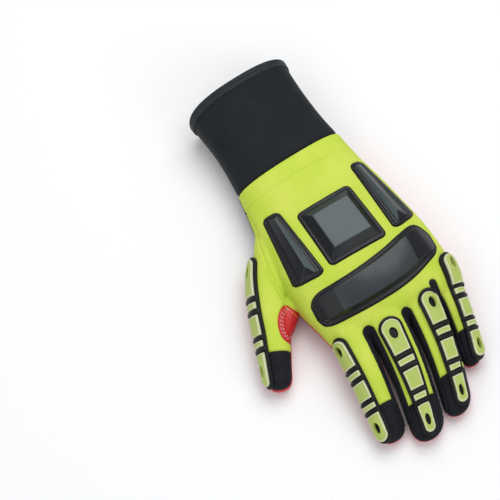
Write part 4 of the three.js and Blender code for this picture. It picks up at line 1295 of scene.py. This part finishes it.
class GuardTrack:
    # the band of skin that a digit's guard covers, measured across it and along it

    def __init__(self, name):
        self.d = digits[name]
        self.from_, self.to = self.d["from"], guardEnds[name]
        self.s = np.linspace(self.from_ - 0.03, self.to + 0.005, 140)
        self.angle = np.empty((len(self.s), fanSteps))
        self.width = np.empty(len(self.s))
        for k, s in enumerate(self.s):
            made = self.fan(s)
            if made is None:
                self.angle[k], self.width[k] = self.angle[k - 1], self.width[k - 1]
            else:
                self.angle[k], self.width[k] = made
                reached = s
        self.to = min(self.to, reached)
        self.width = self.evened(self.width)
        self.angle = np.apply_along_axis(self.evened, 0, self.angle)
        # inserts lie at shares of the way from first to last; the rail rounds off outside begin and finish
        self.first = self.from_ + self.planHalf(self.from_) / self.d["long"]
        self.last = self.to - self.planHalf(self.to) / self.d["long"]
        self.begin = self.from_ + self.half(self.from_) / self.d["long"]
        self.finish = self.to - self.half(self.to) / self.d["long"]

    @staticmethod
    def evened(values):
        return np.convolve(np.pad(values, 6, mode="edge"), np.ones(13) / 13, mode="valid")

    def planHalf(self, s):
        root, tip = self.d["guard"]
        share = (s - self.from_) / (self.to - self.from_)
        return (root + (tip - root) * share) * self.d["wide"] / 2

    def half(self, s):
        return np.interp(s, self.s, self.width) / 2

    def fan(self, s):
        # the angles round the digit between the guard's two edges, at even steps over the skin
        d = self.d
        section = digitSection(d, s)
        angles = np.linspace(-0.35, 1.35, 500) * math.pi
        spots = ringPoint(section, angles)
        root, tip = d["side"]
        middle = (root + (tip - root) * s) * d["wide"] / 2
        across = (spots[:, 0] - wristSeam["x"] - section["x"]) * math.cos(section["turn"])
        across += (spots[:, 1] - wristSeam["y"] - section["y"]) * math.sin(section["turn"])
        seam = between(d["rows"], "seam", min(s, 1) * (len(d["rows"]["seam"]) - 1)) * hand["height"]
        lowest = np.minimum(seam + guardBuild["lift"], section["z"] + 0.6 * section["up"])
        half = self.planHalf(s)
        inside = (np.abs(across - middle) <= half) & (spots[:, 2] >= lowest)
        kept = np.flatnonzero(inside)
        if len(kept) < 2 or np.ptp(across[kept]) + np.ptp(spots[kept, 2]) < half:
            return None
        kept = np.arange(kept[0], kept[-1] + 1)
        length = np.append(0, np.cumsum(np.linalg.norm(np.diff(spots[kept], axis=0), axis=1)))
        return np.interp(np.linspace(0, length[-1], fanSteps), length, angles[kept]), length[-1]

    def ground(self, share, s):
        # share runs from -1 to 1 across the guard
        i = np.clip((s - self.s[0]) / (self.s[1] - self.s[0]), 0, len(self.s) - 1.001)
        j = np.clip((1 - share) / 2 * (fanSteps - 1), 0, fanSteps - 1.001)
        a, b = i.astype(int), j.astype(int)
        f, g = i - a, j - b
        angle = self.angle[a, b] * (1 - f) * (1 - g) + self.angle[a + 1, b] * f * (1 - g)
        angle += self.angle[a, b + 1] * (1 - f) * g + self.angle[a + 1, b + 1] * f * g
        section = digitSection(self.d, s)
        out = ringPoint(section, angle)
        z = np.minimum(section["z"], out[:, 2])
        middle = middleOf({**section, "z": z})
        place, normal = castOn(skinAround, middle, out - middle)
        return np.where(np.isnan(place), out, place), normal


def trackGrid(track, insets, begin, finish, margin, roundStart, roundEnd, stops, spacing):
    # a grid over a stretch of the track: distances across and along, and how far in from its outline
    scale = track.d["long"]
    rows = []
    startHalf, endHalf = track.half(begin) - margin, track.half(finish) - margin
    if roundStart:
        fill = np.linspace(1 - insets[-1] / startHalf, 0, 6)[1:-1]
        rows += [(begin, -r, startHalf) for r in [*(1 - k / startHalf for k in insets), *fill]]
    lines = sorted({*np.arange(begin, finish, spacing / scale), *stops, finish})
    apart = [n == 0 or k - lines[n - 1] > 0.05 / scale for n, k in enumerate(lines)]
    kept = [k for k, clear in zip(lines, apart) if clear and begin <= k <= finish]
    rows += [(k, 0.0, track.half(k) - margin) for k in kept]
    if roundEnd:
        fill = np.linspace(0, 1 - insets[-1] / endHalf, 6)[1:-1]
        rows += [(finish, r, endHalf) for r in [*fill, *(1 - k / endHalf for k in insets[::-1])]]
    a, s, inside = [], [], []
    for centre, t, half in rows:
        rim = [1 - k / half for k in insets]
        c = np.array([*(-k for k in rim), *np.linspace(-rim[-1], rim[-1], 9)[1:-1], *rim[::-1]])
        x, y = stretched(c, np.full(len(c), t)) if t else (c, np.zeros(len(c)))
        a.append(x * half)
        s.append(centre + y * half / scale)
        inside.append(half - half * np.maximum(np.abs(c), abs(t)))
    return np.array(a).T, np.array(s).T, np.array(inside).T


def groundGrid(track, a, s):
    share = (a / track.half(s)).ravel()
    place, normal = track.ground(share, s.ravel())
    shape = (*a.shape, 3)
    return place.reshape(shape), smoothGrid(normal.reshape(shape), 7)


def makeGuard(name):
    track = GuardTrack(name)
    scale = track.d["long"]
    span = track.last - track.first
    cells = [(track.first + row["from"] * span, track.first + row["to"] * span) for row in insertRows]
    lip = guardBuild["gap"] / scale
    stops = {k for start, end in cells for k in (start - lip, start, end, end + lip)}
    rimWidth = guardBuild["rimWidth"]
    insets = [0, 0.08, 0.25, 0.5, 0.85, 1.3, rimWidth - guardBuild["gap"], rimWidth, rimWidth + 0.5]
    a, s, inside = trackGrid(track, insets, track.begin, track.finish, 0, True, True, stops, 0.9)
    ground, normal = groundGrid(track, a, s)
    inCell = np.full(a.shape, -9.0)
    for k, (start, end) in enumerate(cells):
        edges = [inside - rimWidth]
        if k > 0:
            edges.append((s - start) * scale)
        if k < len(cells) - 1:
            edges.append((end - s) * scale)
        inCell = np.maximum(inCell, np.minimum.reduce(edges))
    raised = 1 - easeStep((inCell + guardBuild["gap"]) / guardBuild["gap"])
    top = guardBuild["floor"] + (guardBuild["rim"] - guardBuild["floor"]) * raised
    top = top - roundedEdge(inside, guardBuild["edge"])
    # rounded cross bars stand up between the inserts, right across the rail
    between_ = [np.minimum(s - end, start - s) for (_, end), (start, _) in zip(cells, cells[1:])]
    bar = easeStep(np.maximum.reduce(between_) * scale / guardBuild["barSlope"])
    top = top + guardBuild["bar"] * bar * easeStep(inside / guardBuild["barEnd"])
    lift = (guardBuild["gap"] + top)[..., None]
    rail = slabOver("guard" + name.capitalize(), ground + normal * guardBuild["gap"], ground + normal * lift)
    finishPiece(rail, finishes["guard"], "guard_rubber", "guard_" + name)
    for k, (row, (start, end)) in enumerate(zip(insertRows, cells)):
        makeInsert(name, k, track, row, start, end)
    return rail


def makeInsert(name, number, track, row, start, end):
    first, last = number == 0, number == len(insertRows) - 1
    scale = track.d["long"]
    begin, finish = (track.begin if first else start), (track.finish if last else end)
    insets = [0, 0.06, 0.2, 0.45, 0.75, 1.1, 1.45, 1.9]
    steps = [k / scale for k in insets]
    stops = {*(begin + k for k in steps), *(finish - k for k in steps)}
    spacing = 0.55 if "hole" in row else 0.8
    margin = guardBuild["rimWidth"]
    a, s, inside = trackGrid(track, insets, begin, finish, margin, first, last, stops, spacing)
    if not first:
        inside = np.minimum(inside, (s - begin) * scale)
    if not last:
        inside = np.minimum(inside, (finish - s) * scale)
    ground, normal = groundGrid(track, a, s)
    low = 2 * guardBuild["gap"] + guardBuild["floor"]
    slope = guardBuild["dishSlope"]
    dish = guardBuild["dish"] * easeStep((inside - guardBuild["dishIn"] + slope / 2) / slope)
    top = guardBuild["insert"] - roundedEdge(inside, guardBuild["insertEdge"]) - dish
    if "hole" in row:
        centre = track.first + row["hole"] * (track.last - track.first)
        wide = (track.half(centre) - margin) * insertHole["wide"]
        round_ = np.hypot(a / wide, (s - centre) * scale / insertHole["long"] * 2) - 1
        fade = np.exp(-((np.maximum(round_, 0) * wide / guardBuild["lipWidth"]) ** 2))
        top = top + (dish + guardBuild["lip"]) * fade
    lift = (low + top)[..., None]
    piece = slabOver(f"{name}Insert{number + 1}", ground + normal * low, ground + normal * lift)
    if "hole" in row:
        cutHole(piece, track, centre, wide)
    # how far in from the rim each place lies, by which the material paints a highlight round the rim
    markPlaces(piece, "inside", (ground + normal * lift).reshape(-1, 3), inside.ravel())
    finishPiece(piece, finishes["insert"], "insert_rubber", f"{name}_insert_{number + 1}")


def cutHole(piece, track, centre, wide):
    place, normal = track.ground(np.zeros(1), np.array([centre]))
    ahead = track.ground(np.zeros(1), np.array([centre + 2 / track.d["long"]]))[0] - place
    up = Vector(normal[0]).normalized()
    along = (Vector(ahead[0]) - up * Vector(ahead[0]).dot(up)).normalized()
    deselect()
    bpy.ops.mesh.primitive_cylinder_add(vertices=28, radius=1, depth=1)
    cutter = bpy.context.object
    x, y, z = placesOf(cutter).T
    side = np.array(along.cross(up))
    spots = np.outer(x * wide, side) + np.outer(y * insertHole["long"] / 2, along) + np.outer(z * 16, up)
    movePlaces(cutter, (spots + place) * mm)
    faceOutwards(cutter)
    applyModifier(piece, "BOOLEAN", operation="DIFFERENCE", solver="EXACT", object=cutter)
    bpy.data.objects.remove(cutter)
    smoothShade(piece)


rails = [makeGuard(name) for name in guardEnds]
print("guards:", sum(len(rail.data.polygons) for rail in rails), "faces")


# Cuff: a flared tube of neoprene, open at both ends, with tape folded over its mouth

cuff = {"length": 64, "width": 83.5, "height": 41, "mouth": 55, "lean": 0.12, "turn": math.radians(6.4),
        "flare": 1.6, "waist": 0.05, "middle": 0.45, "floor": 1.8, "foot": 1.06, "wall": 3.0, "gap": 0.3,
        "wave": 0.35, "waveLong": 17, "sides": 168, "roll": 1.1, "rollWidth": 1.6,
        "overTab": 1.6, "overFrom": 46, "overSlope": (4.5, 9), "overHigh": 14}
binding = {"width": 4.6, "wall": 0.75, "gap": 0.15, "stitchIn": 1.3}
pullTab = {"wide": 20, "long": 76, "layer": 0.7, "thick": 1.5, "reach": 13, "place": 0.12}


def cuffSection(distance):
    s = distance / cuff["length"]
    wrist = handSection(0)
    top = cuff["height"] + (cuff["mouth"] - cuff["height"]) * np.maximum(s, 0) ** cuff["flare"]
    z = (top + cuff["floor"]) * cuff["middle"]
    waist = 1 - cuff["waist"] * np.sin(math.pi * np.clip(s, 0, 1))
    return {
        "x": wrist["x"] + math.sin(cuff["turn"]) * distance,
        "y": wrist["y"] - math.cos(cuff["turn"]) * distance,
        "z": z, "half": (wrist["half"] + (cuff["width"] / 2 - wrist["half"]) * s) * waist, "up": top - z,
        "down": (z - cuff["floor"]) * cuff["foot"], "turn": wristSeam["turn"], "floor": cuff["floor"],
        "lean": cuff["lean"] * np.maximum(s, 0),
    }


def tabPlace(place):
    # across and along the pull tab, from its middle line and the wrist seam
    wrist = handSection(0)
    dx = place[:, 0] - wristSeam["x"] - wrist["x"]
    dy = place[:, 1] - wristSeam["y"] - wrist["y"]
    cos, sin = math.cos(cuff["turn"]), math.sin(cuff["turn"])
    return dx * cos + dy * sin - cuff["width"] * pullTab["place"], dx * sin - dy * cos


def cuffPoint(distance, angle, offset):
    place = ringPoint(cuffSection(distance), angle, offset)
    # soft waves in the neoprene, and a lift over the tab under the mouth
    fade = np.sin(math.pi * np.clip(distance / cuff["length"], 0, 1))
    wave = cuff["wave"] * np.sin(angle * 3 + distance / cuff["waveLong"]) * fade
    out = place - middleOf(cuffSection(distance))
    place = place - out / np.linalg.norm(out, axis=1, keepdims=True) * (cuff["wave"] + wave)[:, None]
    across, _ = tabPlace(place)
    sideways, lengthways = cuff["overSlope"]
    over = easeStep((pullTab["wide"] / 2 + 5 - np.abs(across)) / sideways)
    over *= easeStep((distance - cuff["overFrom"]) / lengthways)
    low = np.clip(1 - (place[:, 2] - cuff["floor"]) / cuff["overHigh"], 0, 1)
    place[:, 2] += cuff["overTab"] * over * low
    return place


def wallProfile(count, start, stop, outer, inner, edge):
    # distance and offset round the profile of a wall, its edges rounded
    long = np.linspace(start, stop, count)
    ends = np.linspace(0, math.pi, 7)[1:-1]
    middle, half = (outer + inner) / 2, (outer - inner) / 2
    distance = np.concatenate([long, stop + edge * np.sin(ends), long[::-1], start - edge * np.sin(ends)])
    offset = np.concatenate([np.full(count, outer), middle + half * np.cos(ends), np.full(count, inner),
                             middle - half * np.cos(ends)])
    return distance, offset


def roundCuff(name, distance, offset):
    # a profile of distances and offsets, taken all round the cuff
    def shape(around, across):
        k = np.rint(across * len(distance)).astype(int) % len(distance)
        return cuffPoint(distance[k], around, offset[k])
    return drawnRing(name, cuff["sides"], len(distance), shape)


def makeCuff():
    distance, offset = wallProfile(40, cuff["gap"] + 0.7, cuff["length"] - 0.9, 0.0, -cuff["wall"], 0.7)
    # the outer edge rolls in towards the seam with the hand
    roll = cuff["roll"] * np.exp(-((distance - cuff["gap"]) / cuff["rollWidth"]) ** 2)
    offset = np.where(offset > -cuff["wall"] / 2, offset - roll, offset)
    finishPiece(roundCuff("cuffTube", distance, offset), finishes["cuff"], "cuff_neoprene", "cuff")


def makeBinding():
    over, wall = binding["gap"], binding["wall"]
    end = cuff["length"]
    start = end - binding["width"]
    # round the outside of the tape from its outer edge over the mouth, and back along its inside
    turn = np.linspace(0, math.pi, 11)[1:-1]
    middle, inner = -cuff["wall"] / 2, cuff["wall"] / 2 + over
    outer = inner + wall
    edge = np.linspace(start + 0.3, end, 9)
    hem = np.linspace(start, end, 9)
    distance = np.concatenate([
        edge, end + (outer - 1.0) * np.sin(turn), edge[::-1],
        hem, end + (over + 0.1) * np.sin(turn), hem[::-1]])
    offset = np.concatenate([
        np.full(9, over + wall), middle + outer * np.cos(turn), np.full(9, 2 * middle - over - wall),
        np.full(9, 2 * middle - over), middle - inner * np.cos(turn), np.full(9, over)])
    # the tape's edges are softened and its stitch line drawn in
    sewn = np.exp(-(((distance - start - binding["stitchIn"]) / 0.5) ** 2)) * 0.2
    offset = np.where(offset == over + wall, offset - sewn, offset)
    piece = roundCuff("mouthTape", distance, offset)
    finishPiece(piece, finishes["binding"], "cuff_binding", "cuff_binding")


def makePullTab():
    # one layer of webbing folded back on itself: its middle line first, in a side view
    layer, thick = pullTab["layer"], pullTab["thick"]
    stop = cuff["length"] + pullTab["reach"]
    radius = (thick - layer) / 2
    turn = np.linspace(-math.pi / 2, math.pi / 2, 9)[1:-1]
    flat = np.linspace(stop - pullTab["long"], stop - thick / 2, 70)
    low, high = np.full(len(flat), layer / 2), np.full(len(flat), thick - layer / 2)
    along = np.concatenate([flat, flat[-1] + radius * np.cos(turn), flat[::-1]])
    height = np.concatenate([low, thick / 2 + radius * np.sin(turn), high])
    out = np.stack([np.gradient(height), -np.gradient(along)], axis=-1)
    out /= np.linalg.norm(out, axis=1, keepdims=True)
    across = np.array([0, 0.1, 0.35, 0.8, 1.5, *np.linspace(2.5, pullTab["wide"] - 2.5, 12)])
    across = np.unique(np.round([*across, *(pullTab["wide"] - across)], 3)) - pullTab["wide"] / 2
    edge = layer / 2 - roundedEdge(pullTab["wide"] / 2 - np.abs(across), layer / 2 - 0.05) * 0.8
    wrist = handSection(0)

    def surface(way):
        a, y = np.meshgrid(across, along, indexing="ij")
        far = edge[:, None] * way
        y = y + out[:, 0] * far
        z = height + out[:, 1] * far
        a = a + cuff["width"] * pullTab["place"]
        cos, sin = math.cos(cuff["turn"]), math.sin(cuff["turn"])
        x = wrist["x"] + wristSeam["x"] + a * cos + y * sin
        y = wrist["y"] + wristSeam["y"] + a * sin - y * cos
        return np.stack([x, y, z], axis=-1)
    piece = slabOver("pullTabWebbing", surface(-1), surface(1))
    finishPiece(piece, finishes["webbing"], "tab_webbing", "pull_tab")


makeCuff()
makeBinding()
makePullTab()
print("cuff made")


# Stitching: one short thread, copied along every sewn line

threadGap = 0.9


def threadShape():
    deselect()
    bpy.ops.mesh.primitive_uv_sphere_add(segments=6, ring_count=4, radius=0.5)
    pattern = bpy.context.object
    place = placesOf(pattern)
    faces = [tuple(face.vertices) for face in pattern.data.polygons]
    bpy.data.objects.remove(pattern)
    return place, faces


threadPlaces, threadFaces = threadShape()


def lengthAlong(place):
    return np.append(0, np.cumsum(np.linalg.norm(np.diff(place, axis=0), axis=1)))


def evenly(place, normal, step):
    # stitches' middles along a line, their directions and the way out of the fabric
    length = lengthAlong(place)
    count = max(int(length[-1] / step), 1)
    at = (np.arange(count) + 0.5) * length[-1] / count

    def reached(distance, values):
        return np.stack([np.interp(distance, length, values[:, j]) for j in range(3)], axis=-1)
    return reached(at, place), reached(at + 0.4, place) - reached(at - 0.4, place), reached(at, normal)


def sew(name, lines, material, long, thick, lift=0.1, lowest=0.0):
    places, faces = [], []
    for place, normal in lines:
        for spot, way, out in zip(*evenly(place, normal, long + threadGap)):
            way = way / np.linalg.norm(way)
            out = out - way * out.dot(way)
            out /= np.linalg.norm(out)
            side = np.cross(way, out)
            start = len(places) * len(threadPlaces)
            made = np.outer(threadPlaces[:, 2] * long, way) + np.outer(threadPlaces[:, 0] * thick, side)
            made += np.outer(threadPlaces[:, 1] * thick, out) + spot + out * lift
            made[:, 2] = np.maximum(made[:, 2], lowest)
            places.append(made)
            faces += [tuple(k + start for k in face) for face in threadFaces]
    mesh = bpy.data.meshes.new(name)
    mesh.from_pydata(np.concatenate(places) * mm, [], faces)
    piece = bpy.data.objects.new(name, mesh)
    bpy.context.collection.objects.link(piece)
    faceOutwards(piece)
    smoothShade(piece, 80)
    piece.data.materials.append(material)
    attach(piece, "root")


def laidOn(line, height, way):
    place, normal = castOn(sewnAround, np.column_stack([line, np.full(len(line), height)]),
                           np.tile([0.0, 0.0, way], (len(line), 1)))
    met = ~np.isnan(place[:, 0])
    return place[met], -normal[met]


def fromAbove(line):
    return laidOn(line, 90.0, -1.0)


def fromBelow(line):
    return laidOn(line, -9.0, 1.0)


def backSewing():
    # on both sides of the thumb's seam, and along the hem at the wrist
    seam = planLine(thumbPanel[1:7])
    hem = planLine([(-0.405, 0.1), (-0.2, 0.085), (0.1, 0.09), (0.43, 0.112)])
    return [fromAbove(line) for line in (shiftLine(seam, -1.7), shiftLine(seam, 1.7), hem)]


def patchSewing():
    edge = planLine(crotchPatch[2:7])
    return [fromAbove(shiftLine(edge, inward)) for inward in (2.0, 3.4)]


def makePiping():
    # a thin black cord laid round each pad, one closed tube each
    curve = bpy.data.curves.new("padPiping", "CURVE")
    curve.dimensions, curve.bevel_depth, curve.bevel_resolution = "3D", padBuild["piping"] / 2 * mm, 2
    for pad in pads.values():
        place, _ = padRound(pad, 0, padBuild["pipingOut"], 0.1)
        at = lengthAlong(place)
        even = np.arange(0, at[-1] - 0.5, 0.9)
        line = curve.splines.new("POLY")
        line.points.add(len(even) - 1)
        spots = [*(np.interp(even, at, place[:, k]) * mm for k in range(3)), np.ones(len(even))]
        line.points.foreach_set("co", np.stack(spots, axis=-1).ravel())
        line.use_cyclic_u = True
    piece = bpy.data.objects.new("padPiping", curve)
    bpy.context.collection.objects.link(piece)
    pick(piece)
    bpy.ops.object.convert(target="MESH")
    piece = bpy.context.object
    smoothShade(piece, 80)
    piece.data.materials.clear()
    piece.data.materials.append(finishes["strip"])
    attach(piece, "root")


def bindingSewing():
    # all round the tape, but for where the pull tab lies
    angle = np.linspace(0, 2 * math.pi, 400)
    distance = np.full(400, cuff["length"] - binding["width"] + binding["stitchIn"])
    place = cuffPoint(distance, angle, binding["gap"] + binding["wall"] - 0.2)
    out = place - cuffPoint(distance, angle, -4)
    across, _ = tabPlace(place)
    clear = (place[:, 2] > 4) | (np.abs(across) > pullTab["wide"] / 2 + 1.5)
    cuts = np.flatnonzero(np.diff(clear.astype(int))) + 1
    parts = np.split(np.arange(400), cuts)
    return [(place[part], out[part]) for part in parts if clear[part[0]] and len(part) > 4]


sew("backThreads", backSewing(), finishes["limeThread"], long=1.5, thick=0.42)
sew("patchThreads", patchSewing(), finishes["whiteThread"], long=1.9, thick=0.5)
padHeight = padBuild["gap"] + padBuild["flange"] - 0.25
padRows = [padRound(pad, padBuild["stitchIn"], 0, padHeight) for pad in pads.values()]
sew("padThreads", padRows, finishes["greyThread"], long=2.2, thick=0.5, lift=0.05)
makePiping()
sew("tapeThreads", bindingSewing(), finishes["greyThread"],
    long=2.2, thick=0.45, lift=0.02, lowest=0.05)
sew("palmThreads", [fromBelow(line) for line in palmLines(True)], finishes["whiteThread"],
    long=2.0, thick=0.5, lift=0.0, lowest=0.02)
print("sewn")


addCamera()
addStudio()
bpy.context.scene.view_settings.view_transform = "Standard"
